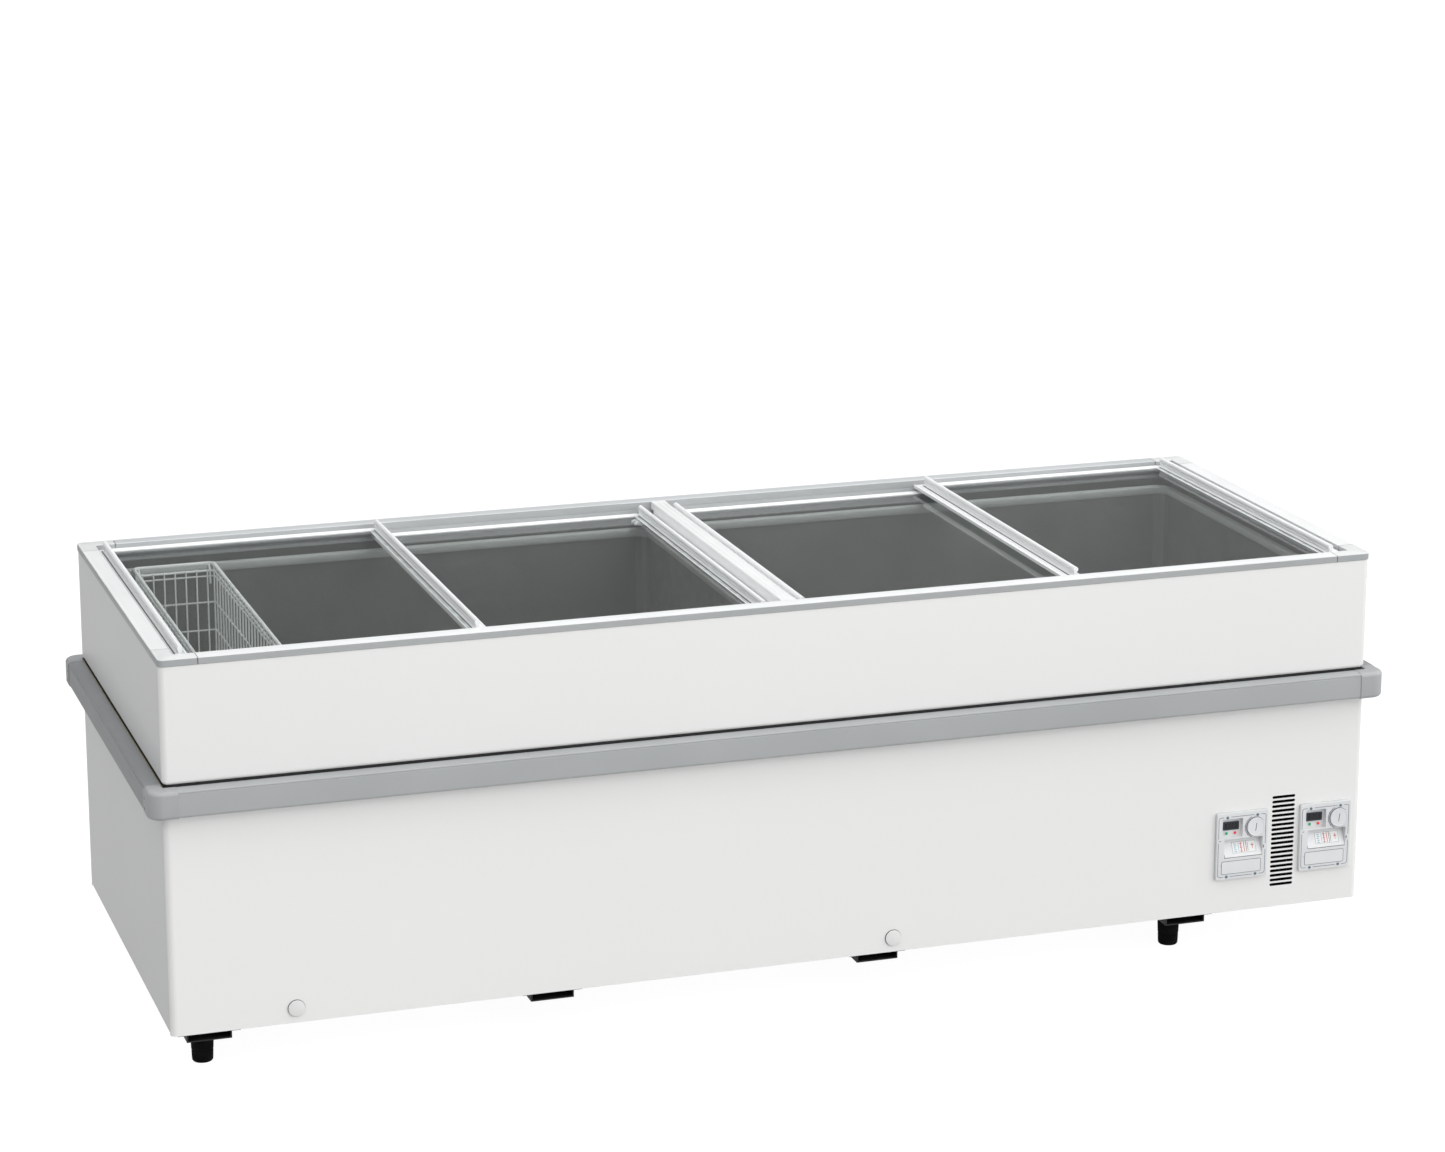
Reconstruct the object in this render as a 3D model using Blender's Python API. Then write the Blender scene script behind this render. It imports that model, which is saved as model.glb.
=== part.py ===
"""Island chest freezer with two tubs and four sliding glass lids.

Metres, +Z up. The origin is on the floor under the middle of the cabinet, the front faces -Y and the
length runs along X. Places along the length and the depth are often given from the cabinet's left and
front faces, and at_x() and at_y() turn those into world coordinates.
"""

import math

import bmesh
import bpy
from mathutils import Matrix, Vector

MM = 0.001

# Cabinet
LENGTH = 2500 * MM
DEPTH = 920 * MM
BODY_Z = 87 * MM  # underside of the lower panels
LOWER_TOP_Z = 578 * MM  # top of the lower panels, behind the bumper
UPPER_Z = 588.5 * MM  # underside of the upper panels
PANEL_TOP_Z = 816.6 * MM
RIM_Z = 831 * MM  # top of the rim
SHEET = 1.5 * MM
GAP = 0.3 * MM
EDGE_RADIUS = 12 * MM
WRAP = 14 * MM  # how far a front panel turns round the corner
SEAM = 1 * MM
SIDE_LIFT = 7 * MM  # the side panels stop short of the floor edge

# Rim, all measured from its outer face and down from its top
RIM_OVERHANG = 1.5 * MM
RIM_WIDTH = 33 * MM
RIM_WALL = 2.5 * MM
RIM_DROP = 14 * MM
UPPER_LEDGE = 16.5 * MM
LOWER_LEDGE = 30 * MM
LEDGE_STEP = 4 * MM
SHELF_WIDTH = 15 * MM
RIM_HEIGHT = 35 * MM
RIM_LEG = 76 * MM
RIM_RADIUS = 12 * MM

# Bumper
BUMPER_Z = 528.5 * MM
BUMPER_HEIGHT = 55 * MM
BUMPER_OUT = 33 * MM
BUMPER_LEG = 57 * MM
BUMPER_RADIUS = 29 * MM
CAP_PROUD = 1.5 * MM

# Tubs
TUB_SIDE = 66 * MM  # liner face to the cabinet's outer face
PARTITION = 72 * MM  # liner face to liner face, under the crossbar
LEDGE_WIDTH = 9 * MM
LEDGE_Z = 776 * MM
TUB_FLOOR_Z = 150 * MM
TUB_RADIUS = 25 * MM
LINER_TOP_Z = 795.5 * MM
FOAM_TOP_Z = 795 * MM
COIL_GAP = 11 * MM
STEP_FLOOR_Z = 395 * MM
STEP_X = 1915 * MM  # where the right tub's deep part ends
BAY_X = 1975 * MM  # where the machine bay starts
BAY_TOP_Z = 350 * MM

# Crossbar between the tubs
BAR_LEFT = 1234 * MM
BAR_RIGHT = 1266 * MM
BAR_FLANGE = 11 * MM

# Lids: left end, right end, left fin, right fin (None has a flat seal there), and their track
LIDS = {
    "lid_1": (34 * MM, 646 * MM, 50 * MM, 624 * MM, "upper"),
    "lid_2": (614 * MM, 1232 * MM, None, 1205 * MM, "lower"),
    "lid_3": (1268 * MM, 1900 * MM, 1285 * MM, None, "lower"),
    "lid_4": (1842 * MM, 2464 * MM, 1866 * MM, 2435 * MM, "upper"),
}
TRACK_TOP = {"upper": 9.5 * MM, "lower": 23 * MM}  # lid frame's top below the rim's
TRACK_IN = {"upper": 33.6 * MM, "lower": 37.6 * MM}  # lid frame's edge from the cabinet's face
FRAME_THICK = 6.6 * MM
FRAME_WIDTH = 20 * MM
SEAL_WIDTH = 32 * MM
GLASS_THICK = 4 * MM
GLASS_BITE = 8 * MM
FIN_HEIGHT = 20.5 * MM
FIN_HALF = 4.5 * MM
FIN_INNER = 6 * MM  # fin's middle to the frame's inner edge
FIN_SETBACK = 13 * MM

# Underside
CHANNELS_X = (73.5 * MM, 752.5 * MM, 1431.5 * MM, 2110.5 * MM)
CHANNEL_Z = 70 * MM
CHANNEL_BOX = 87 * MM
CHANNEL_FLANGE = 17 * MM
CHANNEL_SHEET = 2.5 * MM
CHANNEL_SETBACK = 5 * MM
FOOT_IN = 85 * MM  # foot's middle from the front or rear face
FOOT_TOP_RADIUS = 23.5 * MM
FOOT_BOTTOM_RADIUS = 20.5 * MM
STUD_RADIUS = 6 * MM

# Front fittings
SLOT_COUNT = 20
SLOT_PITCH = 10 * MM
SLOT_HEIGHT = 5 * MM
SLOT_LOW_Z = 132.5 * MM
FRONT_SLOTS_X = (2299 * MM, 2350 * MM)
REAR_SLOTS_X = (2090 * MM, 2210 * MM)
PANELS_X = (2171 * MM, 2361 * MM)  # left edges of the two control bezels
PANEL_WIDTH = 115 * MM
PANEL_Z = 160.5 * MM
PANEL_HEIGHT = 143.5 * MM
PANEL_PROUD = 8 * MM
DISPLAY_X = (12 * MM, 58 * MM)  # pockets, from the bezel's left edge and down from its top
DISPLAY_Z = (13 * MM, 54 * MM)
DISPLAY_SUNK = 10 * MM
WINDOW_X = (18 * MM, 104.5 * MM)
WINDOW_Z = (57 * MM, 98 * MM)
WINDOW_SUNK = 20 * MM
PLUGS_X = (242 * MM, 1463 * MM)
PLUG_Z = 116.6 * MM
PLUG_RADIUS = 16.5 * MM
PLUG_STEM = 13.5 * MM
DIAL_RADIUS = 20 * MM
DIAL_FROM_LEFT = 87 * MM
DIAL_FROM_TOP = 34 * MM
DIAL_DEEP = 4 * MM

# Basket
BASKET_X = (100 * MM, 275 * MM)
BASKET_TOP_Z = 783 * MM
BASKET_FLOOR_Z = 560 * MM
BASKET_END = 60 * MM  # hooks' ends from the cabinet's front and rear faces

# Machine bay
FAN_X = 2150 * MM
FAN_Z = 210 * MM
FAN_RADIUS = 95 * MM
COMPRESSORS_X = (2100 * MM, 2350 * MM)
COMPRESSOR_Y = 710 * MM
INLET_X = 2400 * MM
INLET_Z = 190 * MM

MATERIALS = {
    "white_paint": ((0.86, 0.86, 0.85), 0.35, 0.0),
    "side_paint": ((0.80, 0.81, 0.81), 0.4, 0.0),
    "rim_plastic": ((0.84, 0.85, 0.85), 0.35, 0.0),
    "rim_corner": ((0.72, 0.73, 0.74), 0.4, 0.0),
    "bumper_plastic": ((0.40, 0.42, 0.43), 0.45, 0.0),
    "lid_plastic": ((0.82, 0.84, 0.85), 0.3, 0.0),
    "lid_glass": ((0.80, 0.86, 0.85), 0.03, 0.0),
    "liner_metal": ((0.52, 0.54, 0.54), 0.35, 0.7),
    "foam": ((0.85, 0.78, 0.55), 0.9, 0.0),
    "copper": ((0.72, 0.38, 0.22), 0.3, 1.0),
    "galvanised": ((0.60, 0.62, 0.64), 0.4, 1.0),
    "channel_black": ((0.02, 0.02, 0.02), 0.5, 0.0),
    "foot_black": ((0.015, 0.015, 0.015), 0.55, 0.0),
    "control_plastic": ((0.74, 0.75, 0.77), 0.45, 0.0),
    "dial_plastic": ((0.80, 0.80, 0.82), 0.4, 0.0),
    "plug_plastic": ((0.82, 0.82, 0.82), 0.45, 0.0),
    "basket_wire": ((0.85, 0.86, 0.86), 0.35, 0.0),
    "compressor_black": ((0.03, 0.03, 0.03), 0.4, 0.0),
    "condenser_fins": ((0.70, 0.71, 0.72), 0.35, 1.0),
    "fan_plastic": ((0.04, 0.04, 0.045), 0.5, 0.0),
}


def at_x(from_left):
    return from_left - LENGTH / 2


def at_y(from_front):
    return from_front - DEPTH / 2


# ---------------------------------------------------------------- making meshes


def material(name):
    found = bpy.data.materials.get(name)
    if found:
        return found
    color, roughness, metallic = MATERIALS[name]
    made = bpy.data.materials.new(name)
    made.use_nodes = True
    shader = made.node_tree.nodes["Principled BSDF"]
    shader.inputs["Base Color"].default_value = (*color, 1.0)
    shader.inputs["Roughness"].default_value = roughness
    shader.inputs["Metallic"].default_value = metallic
    if name == "lid_glass":
        shader.inputs["Transmission Weight"].default_value = 0.9
    return made


def place(name, bm, slot, origin=(0, 0, 0), smooth=30):
    """A bmesh in world coordinates becomes an object whose own origin is at the given point."""
    bmesh.ops.remove_doubles(bm, verts=bm.verts[:], dist=1e-6)
    bmesh.ops.recalc_face_normals(bm, faces=bm.faces[:])
    bmesh.ops.translate(bm, verts=bm.verts[:], vec=-Vector(origin))
    mesh = bpy.data.meshes.new(name)
    bm.to_mesh(mesh)
    bm.free()
    if smooth:
        mesh.shade_smooth()
        mesh.set_sharp_from_angle(angle=math.radians(smooth))
    obj = bpy.data.objects.new(name, mesh)
    obj.location = origin
    bpy.context.scene.collection.objects.link(obj)
    if slot:
        mesh.materials.append(material(slot))
    return obj


def helper(obj):
    """Marks a cutter or a shape to join, which isn't a piece of the freezer."""
    obj.hide_render = True
    obj.display_type = "WIRE"
    return obj


def combine(obj, other, operation):
    """Adds a Boolean with another object, which becomes a helper."""
    modifier = obj.modifiers.new(operation.lower(), "BOOLEAN")
    modifier.operation = operation
    modifier.solver = "EXACT"
    modifier.object = helper(other)
    return obj


def cut(obj, other):
    return combine(obj, other, "DIFFERENCE")


def join(obj, other):
    return combine(obj, other, "UNION")


def corner(axis, a, b, along):
    """A point from its two outline coordinates and its place along the extrusion's axis."""
    return {"x": (along, a, b), "y": (a, along, b), "z": (a, b, along)}[axis]


def prism(outline, axis, start, end, bm=None):
    """Extrudes a closed outline along an axis: (y, z) along x, (x, z) along y, or (x, y) along z."""
    bm = bm or bmesh.new()
    low = [bm.verts.new(corner(axis, a, b, start)) for a, b in outline]
    high = [bm.verts.new(corner(axis, a, b, end)) for a, b in outline]
    count = len(outline)
    bm.faces.new(low)
    bm.faces.new(list(reversed(high)))
    for i in range(count):
        j = (i + 1) % count
        bm.faces.new((low[i], high[i], high[j], low[j]))
    return bm


def rectangle(a0, a1, b0, b1):
    return [(a0, b0), (a1, b0), (a1, b1), (a0, b1)]


def block(low, high, bm=None):
    return prism(rectangle(low[0], high[0], low[1], high[1]), "z", low[2], high[2], bm)


def arc(centre, radius, start, end, steps):
    """Points round a circle, with the angles in degrees."""
    points = []
    for i in range(steps + 1):
        angle = math.radians(start + (end - start) * i / steps)
        points.append((centre[0] + radius * math.cos(angle), centre[1] + radius * math.sin(angle)))
    return points


def rounded_rectangle(a0, a1, b0, b1, radius, steps=3):
    return (
        arc((a0 + radius, b0 + radius), radius, 180, 270, steps)
        + arc((a1 - radius, b0 + radius), radius, 270, 360, steps)
        + arc((a1 - radius, b1 - radius), radius, 0, 90, steps)
        + arc((a0 + radius, b1 - radius), radius, 90, 180, steps)
    )


def stadium(a0, a1, b0, b1, steps=6):
    """A slot with half-round ends."""
    radius = (b1 - b0) / 2
    middle = (b0 + b1) / 2
    right = arc((a1 - radius, middle), radius, -90, 90, steps)
    return right + arc((a0 + radius, middle), radius, 90, 270, steps)


def circle(centre, radius, steps):
    return arc(centre, radius, 0, 360, steps)[:-1]


def ribbon(points, thickness):
    """The outline of a bent sheet: the given face, and the same face moved to its right."""
    offset = []
    count = len(points)
    for i, point in enumerate(points):
        before = Vector(point) - Vector(points[i - 1]) if i else None
        after = Vector(points[i + 1]) - Vector(point) if i < count - 1 else None
        normals = [Vector((d.y, -d.x)).normalized() for d in (before, after) if d is not None]
        mitre = sum(normals, Vector((0, 0))).normalized()
        offset.append(tuple(Vector(point) + mitre * thickness / mitre.dot(normals[0])))
    return list(points) + offset[::-1]


def turned(profile, centre, direction, steps):
    """A solid of revolution from (radius, height) points, along an axis from centre."""
    bm = bmesh.new()
    turn = Vector((0, 0, 1)).rotation_difference(Vector(direction)).to_matrix().to_4x4()
    frame = Matrix.Translation(Vector(centre)) @ turn
    rings = []
    for radius, height in profile:
        if radius < 1e-7:
            rings.append([bm.verts.new(frame @ Vector((0, 0, height)))])
            continue
        ring = [frame @ Vector((x, y, height)) for x, y in circle((0, 0), radius, steps)]
        rings.append([bm.verts.new(point) for point in ring])
    for low, high in zip(rings, rings[1:]):
        for i in range(steps):
            j = (i + 1) % steps
            ring = [low[i % len(low)], low[j % len(low)], high[j % len(high)], high[i % len(high)]]
            face = [vert for k, vert in enumerate(ring) if vert not in ring[:k]]
            bm.faces.new(face)
    return bm


def mitred_corner(profile, radius, leg, outer, signs, steps=6):
    """Sweeps a (depth from the outer face, z) profile round a cabinet corner, from one leg's end to
    the other's. outer is the corner's sharp outer point and signs say which corner it is."""
    bm = bmesh.new()

    def vert(u, v, z):
        return bm.verts.new((outer[0] - signs[0] * u, outer[1] - signs[1] * v, z))

    rings = [[vert(leg, depth, z) for depth, z in profile]]
    for step in range(steps + 1):
        angle = math.pi / 2 * step / steps
        ring = []
        for depth, z in profile:
            reach = max(radius - depth, 0)
            start = max(radius, depth)
            ring.append(vert(start - reach * math.sin(angle), start - reach * math.cos(angle), z))
        rings.append(ring)
    rings.append([vert(depth, leg, z) for depth, z in profile])
    count = len(profile)
    for low, high in zip(rings, rings[1:]):
        for i in range(count):
            j = (i + 1) % count
            bm.faces.new((low[i], low[j], high[j], high[i]))
    bm.faces.new(rings[0])
    bm.faces.new(rings[-1])
    bmesh.ops.remove_doubles(bm, verts=bm.verts[:], dist=1e-6)
    return bm


# ---------------------------------------------------------------- cabinet


def rounded_shell(low, high, edge_test, drop_test, facing):
    """A sheet shell: a box with some edges rounded and some faces left off."""
    bm = block(low, high)
    bmesh.ops.recalc_face_normals(bm, faces=bm.faces[:])
    edges = [edge for edge in bm.edges if edge_test(*[vert.co for vert in edge.verts])]
    bmesh.ops.bevel(
        bm, geom=edges, offset=EDGE_RADIUS, segments=4, profile=0.5, affect="EDGES"
    )
    dropped = [face for face in bm.faces if drop_test(face.normal, face.calc_center_median())]
    bmesh.ops.delete(bm, geom=dropped, context="FACES")
    return bm


def end_panel(name, facing, z0, z1, rolled):
    """A front (facing -1) or rear (facing 1) panel that wraps round both corners. A rolled panel
    also turns in along its lower edge."""
    outer = facing * DEPTH / 2
    inner = outer - facing * WRAP
    low = (-LENGTH / 2, min(outer, inner), z0)
    high = (LENGTH / 2, max(outer, inner), z1)

    def rounded(a, b):
        at_face = abs(a.y - outer) < 1e-6 and abs(b.y - outer) < 1e-6
        upright = abs(a.z - b.z) > 1e-6
        lower = rolled and abs(a.z - z0) < 1e-6 and abs(b.z - z0) < 1e-6
        return at_face and (upright or lower)

    def dropped(normal, middle):
        at_back = normal.y * facing < -0.9
        at_top = normal.z > 0.9
        at_bottom = normal.z < -0.9 and not rolled
        return at_back or at_top or at_bottom

    bm = rounded_shell(low, high, rounded, dropped, facing)
    mesh_obj = bpy.data.meshes.new(name)
    bm.to_mesh(mesh_obj)
    bm.free()
    mesh_obj.shade_smooth()
    mesh_obj.set_sharp_from_angle(angle=math.radians(30))
    mesh_obj.materials.append(material("white_paint"))
    obj = bpy.data.objects.new(name, mesh_obj)
    bpy.context.scene.collection.objects.link(obj)
    solidify = obj.modifiers.new("sheet", "SOLIDIFY")
    solidify.thickness = SHEET
    solidify.offset = -1
    solidify.use_even_offset = True
    return obj


def slot_cutter(span, facing):
    bm = bmesh.new()
    near = facing * DEPTH / 2
    for i in range(SLOT_COUNT):
        z = SLOT_LOW_Z + i * SLOT_PITCH
        outline = stadium(at_x(span[0]), at_x(span[1]), z, z + SLOT_HEIGHT)
        prism(outline, "y", near - 6 * MM, near + 6 * MM, bm)
    return place("slots", bm, None, smooth=0)


def make_panels():
    front = end_panel("lower_front_panel", -1, BODY_Z, LOWER_TOP_Z, False)
    cut(front, slot_cutter(FRONT_SLOTS_X, -1))
    bm = bmesh.new()
    face = -DEPTH / 2
    for x in PLUGS_X:
        hole = circle((at_x(x), PLUG_Z), PLUG_STEM + GAP, 20)
        prism(hole, "y", face - 6 * MM, face + 6 * MM, bm)
    for x in PANELS_X:
        left = at_x(x) + 8 * MM
        opening = rectangle(
            left, left + PANEL_WIDTH - 16 * MM, PANEL_Z + 10 * MM, PANEL_Z + PANEL_HEIGHT - 10 * MM
        )
        prism(opening, "y", face - 6 * MM, face + 6 * MM, bm)
    cut(front, place("front_openings", bm, None, smooth=0))

    rear = end_panel("lower_rear_panel", 1, BODY_Z, LOWER_TOP_Z, False)
    cut(rear, slot_cutter(REAR_SLOTS_X, 1))
    inlet = rectangle(
        at_x(INLET_X) - 25 * MM, at_x(INLET_X) + 25 * MM, INLET_Z - 15 * MM, INLET_Z + 15 * MM
    )
    cut(rear, place("inlet_opening", prism(inlet, "y", 0.45, 0.47), None, smooth=0))

    end_panel("upper_front_panel", -1, UPPER_Z, PANEL_TOP_Z, True)
    end_panel("upper_rear_panel", 1, UPPER_Z, PANEL_TOP_Z, True)

    edge = DEPTH / 2 - WRAP - SEAM
    for side, sign in (("left", -1), ("right", 1)):
        outer = sign * LENGTH / 2
        inner = outer - sign * SHEET
        low = (min(outer, inner), -edge, BODY_Z + SIDE_LIFT)
        high = (max(outer, inner), edge, LOWER_TOP_Z)
        place(f"lower_{side}_panel", block(low, high), "side_paint", smooth=0)
        bend = arc((EDGE_RADIUS, UPPER_Z + EDGE_RADIUS), EDGE_RADIUS, 180, 270, 4)
        face_line = [(0, PANEL_TOP_Z)] + bend + [(WRAP, UPPER_Z)]
        sheet = ribbon(face_line, -SHEET)
        outline = [(outer - sign * depth, z) for depth, z in sheet]
        place(f"upper_{side}_panel", prism(outline, "y", -edge, edge), "side_paint")

    inset = SHEET + 2 * GAP
    pan_x = LENGTH / 2 - inset
    pan_y = DEPTH / 2 - inset
    pan = prism(
        rounded_rectangle(-pan_x, pan_x, -pan_y, pan_y, EDGE_RADIUS, 3),
        "z",
        BODY_Z,
        BODY_Z + 2 * MM,
    )
    place("base_pan", pan, "galvanised", smooth=0)


def tub_span(side):
    """The liner's inner faces along x, below the ledge."""
    if side == "left":
        return -LENGTH / 2 + TUB_SIDE, -PARTITION / 2
    return PARTITION / 2, LENGTH / 2 - TUB_SIDE


def tub_blocks(side, grow, grow_down):
    """The tub's hollow as upright blocks that overlap, grown sideways and down."""
    x0, x1 = tub_span(side)
    y1 = DEPTH / 2 - TUB_SIDE
    wide = grow + LEDGE_WIDTH
    radius = TUB_RADIUS + grow
    top = LINER_TOP_Z + 10 * MM
    corner_radius = TUB_RADIUS + wide
    above_ledge = rounded_rectangle(x0 - wide, x1 + wide, -y1 - wide, y1 + wide, corner_radius)
    shapes = [(above_ledge, LEDGE_Z - grow_down, top)]
    floor = TUB_FLOOR_Z if side == "left" else STEP_FLOOR_Z
    below = rounded_rectangle(x0 - grow, x1 + grow, -y1 - grow, y1 + grow, radius)
    shapes.append((below, floor - grow_down, LEDGE_Z + 5 * MM))
    if side == "right":
        deep = rounded_rectangle(x0 - grow, at_x(STEP_X) + grow, -y1 - grow, y1 + grow, radius)
        shapes.append((deep, TUB_FLOOR_Z - grow_down, STEP_FLOOR_Z + 5 * MM))
    return shapes


def make_liner(side):
    shell = SHEET
    shapes = tub_blocks(side, shell, shell)
    outline, low, _ = shapes[0]
    liner = place(f"{side}_liner", prism(outline, "z", low, LINER_TOP_Z), "liner_metal")
    for outline, low, high in shapes[1:]:
        join(liner, place("liner_outer", prism(outline, "z", low, high), None, smooth=0))
    for outline, low, high in tub_blocks(side, 0, 0):
        cut(liner, place("liner_inner", prism(outline, "z", low, high), None, smooth=0))


def make_foam():
    inset = SHEET + GAP
    x = LENGTH / 2 - inset
    y = DEPTH / 2 - inset
    lower = rounded_rectangle(-x, x, -y, y, EDGE_RADIUS + 1 * MM, 2)
    foam = place(
        "insulation_foam",
        prism(lower, "z", BODY_Z + 2 * MM + GAP, LOWER_TOP_Z),
        "foam",
        smooth=0,
    )
    inset = WRAP + SHEET + GAP
    x = LENGTH / 2 - inset
    y = DEPTH / 2 - inset
    upper = block((-x, -y, LOWER_TOP_Z - 5 * MM), (x, y, FOAM_TOP_Z))
    join(foam, place("foam_upper", upper, None, smooth=0))
    for side in ("left", "right"):
        for outline, low, high in tub_blocks(side, COIL_GAP, SHEET + GAP)[1:]:
            top = max(high, FOAM_TOP_Z + 10 * MM) if high > STEP_FLOOR_Z + 10 * MM else high
            cut(foam, place("foam_tub", prism(outline, "z", low, top), None, smooth=0))
    bay = block((at_x(BAY_X), -DEPTH, 0), (LENGTH, DEPTH, BAY_TOP_Z))
    cut(foam, place("foam_bay", bay, None, smooth=0))
    drains = bmesh.new()
    for drain_x in PLUGS_X:
        hole = circle((at_x(drain_x), PLUG_Z), PLUG_STEM + 2 * GAP, 16)
        prism(hole, "y", -DEPTH / 2 - 10 * MM, -DEPTH / 2 + 60 * MM, drains)
    cut(foam, place("foam_drains", drains, None, smooth=0))


def make_evaporator(side, low_z, high_z, turns):
    """One tube wound round the liner, climbing evenly."""
    tube = 3.6 * MM
    reach = SHEET + GAP + tube
    x0, x1 = tub_span(side)
    y1 = DEPTH / 2 - TUB_SIDE + reach
    loop = rounded_rectangle(x0 - reach, x1 + reach, -y1, y1, TUB_RADIUS + reach, 3)
    count = len(loop) * turns
    curve = bpy.data.curves.new(f"{side}_evaporator", "CURVE")
    curve.dimensions = "3D"
    curve.bevel_depth = tube
    curve.bevel_resolution = 1
    curve.use_fill_caps = True
    spline = curve.splines.new("POLY")
    spline.points.add(count - 1)
    for i in range(count):
        px, py = loop[i % len(loop)]
        spline.points[i].co = (px, py, low_z + (high_z - low_z) * i / (count - 1), 1)
    curve.materials.append(material("copper"))
    obj = bpy.data.objects.new(f"{side}_evaporator", curve)
    bpy.context.scene.collection.objects.link(obj)


# ---------------------------------------------------------------- rim and crossbar


def rim_profile():
    """The rim's bent wall as (depth from the outer face, z)."""
    inner = RIM_OVERHANG + RIM_WIDTH
    face = [
        (0, RIM_Z - RIM_DROP),
        (0, RIM_Z - 2 * MM),
        (2 * MM, RIM_Z),
        (inner, RIM_Z),
        (inner, RIM_Z - UPPER_LEDGE),
        (inner + LEDGE_STEP, RIM_Z - UPPER_LEDGE),
        (inner + LEDGE_STEP, RIM_Z - LOWER_LEDGE),
        (inner + LEDGE_STEP + SHELF_WIDTH, RIM_Z - LOWER_LEDGE),
        (inner + LEDGE_STEP + SHELF_WIDTH, RIM_Z - RIM_HEIGHT),
    ]
    return ribbon(face, RIM_WALL)


def make_rim():
    out_x = LENGTH / 2 + RIM_OVERHANG
    out_y = DEPTH / 2 + RIM_OVERHANG
    end_x = out_x - RIM_LEG - GAP
    end_y = out_y - RIM_LEG - GAP
    for side, sign in (("front", -1), ("rear", 1)):
        outline = [(sign * (out_y - depth), z) for depth, z in rim_profile()]
        place(f"rim_rail_{side}", prism(outline, "x", -end_x, end_x), "rim_plastic")
    for side, sign in (("left", -1), ("right", 1)):
        outline = [(sign * (out_x - depth), z) for depth, z in rim_profile()]
        place(f"rim_rail_{side}", prism(outline, "y", -end_y, end_y), "rim_plastic")
    for name, signs in corners():
        outer = (signs[0] * out_x, signs[1] * out_y)
        bm = mitred_corner(rim_profile(), RIM_RADIUS, RIM_LEG, outer, signs)
        place(f"rim_corner_{name}", bm, "rim_corner")


def corners():
    return (
        ("front_left", (-1, -1)),
        ("front_right", (1, -1)),
        ("rear_left", (-1, 1)),
        ("rear_right", (1, 1)),
    )


def make_crossbar():
    left = at_x(BAR_LEFT)
    right = at_x(BAR_RIGHT)
    foot = RIM_Z - RIM_HEIGHT + RIM_WALL + GAP
    face = [
        (left - BAR_FLANGE, foot),
        (left, foot),
        (left, RIM_Z - 2 * MM),
        (left + 2 * MM, RIM_Z),
        (right - 2 * MM, RIM_Z),
        (right, RIM_Z - 2 * MM),
        (right, foot),
        (right + BAR_FLANGE, foot),
    ]
    reach = DEPTH / 2 - RIM_WIDTH - GAP
    bar = place("centre_crossbar", prism(ribbon(face, RIM_WALL), "y", -reach, reach), "rim_plastic")
    steps = bmesh.new()
    ledge = reach - LEDGE_STEP
    shelf = ledge - SHELF_WIDTH
    for sign in (-1, 1):
        stair = [
            (sign * DEPTH, RIM_Z - UPPER_LEDGE + GAP),
            (sign * ledge, RIM_Z - UPPER_LEDGE + GAP),
            (sign * ledge, RIM_Z - LOWER_LEDGE + GAP),
            (sign * shelf, RIM_Z - LOWER_LEDGE + GAP),
            (sign * shelf, RIM_Z - 2 * RIM_HEIGHT),
            (sign * DEPTH, RIM_Z - 2 * RIM_HEIGHT),
        ]
        prism(stair, "x", left - 30 * MM, right + 30 * MM, steps)
    cut(bar, place("crossbar_notches", steps, None, smooth=0))


# ---------------------------------------------------------------- bumper


def bumper_profile(inset):
    """The bumper as (depth from its outermost face, z), with a bead and a groove along its top."""
    top = BUMPER_Z + BUMPER_HEIGHT
    back = BUMPER_OUT - GAP
    bead = arc((inset + 5 * MM, top - 6 * MM), 5 * MM, 180, 90, 4)
    return (
        [
            (back, BUMPER_Z + 3 * MM),
            (inset + 6 * MM, BUMPER_Z),
            (inset + 1 * MM, BUMPER_Z + 1 * MM),
            (inset, BUMPER_Z + 3 * MM),
            (inset, top - 12 * MM),
            (inset + 1.2 * MM, top - 11 * MM),
            (inset + 1.2 * MM, top - 9.5 * MM),
            (inset, top - 8.5 * MM),
        ]
        + bead
        + [(back, top)]
    )


def make_bumper():
    out_x = LENGTH / 2 + BUMPER_OUT
    out_y = DEPTH / 2 + BUMPER_OUT
    end_x = LENGTH / 2 - (BUMPER_LEG - BUMPER_OUT) - GAP
    end_y = DEPTH / 2 - (BUMPER_LEG - BUMPER_OUT) - GAP
    for side, sign in (("front", -1), ("rear", 1)):
        outline = [(sign * (out_y - depth), z) for depth, z in bumper_profile(CAP_PROUD)]
        place(f"bumper_{side}", prism(outline, "x", -end_x, end_x), "bumper_plastic")
    for side, sign in (("left", -1), ("right", 1)):
        outline = [(sign * (out_x - depth), z) for depth, z in bumper_profile(CAP_PROUD)]
        place(f"bumper_{side}", prism(outline, "y", -end_y, end_y), "bumper_plastic")
    for name, signs in corners():
        outer = (signs[0] * out_x, signs[1] * out_y)
        bm = mitred_corner(bumper_profile(0), BUMPER_RADIUS, BUMPER_LEG, outer, signs)
        place(f"bumper_corner_{name}", bm, "bumper_plastic")


# ---------------------------------------------------------------- lids


def fin_outline(x, base_z):
    """An upright finger pull: a flared foot, a narrow waist and a rounded bulb on top."""
    top = base_z + FIN_HEIGHT
    bulb = arc((x, top - FIN_HALF), FIN_HALF, 0, 180, 6)
    waist = 2.2 * MM
    right = [
        (x + 5.5 * MM, base_z - 1 * MM),
        (x + 5.5 * MM, base_z + 1.5 * MM),
        (x + waist, base_z + 5 * MM),
        (x + waist, base_z + 8 * MM),
        (x + FIN_HALF, base_z + 12 * MM),
    ]
    left = [(2 * x - px, z) for px, z in reversed(right)]
    return right + bulb + left


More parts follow.
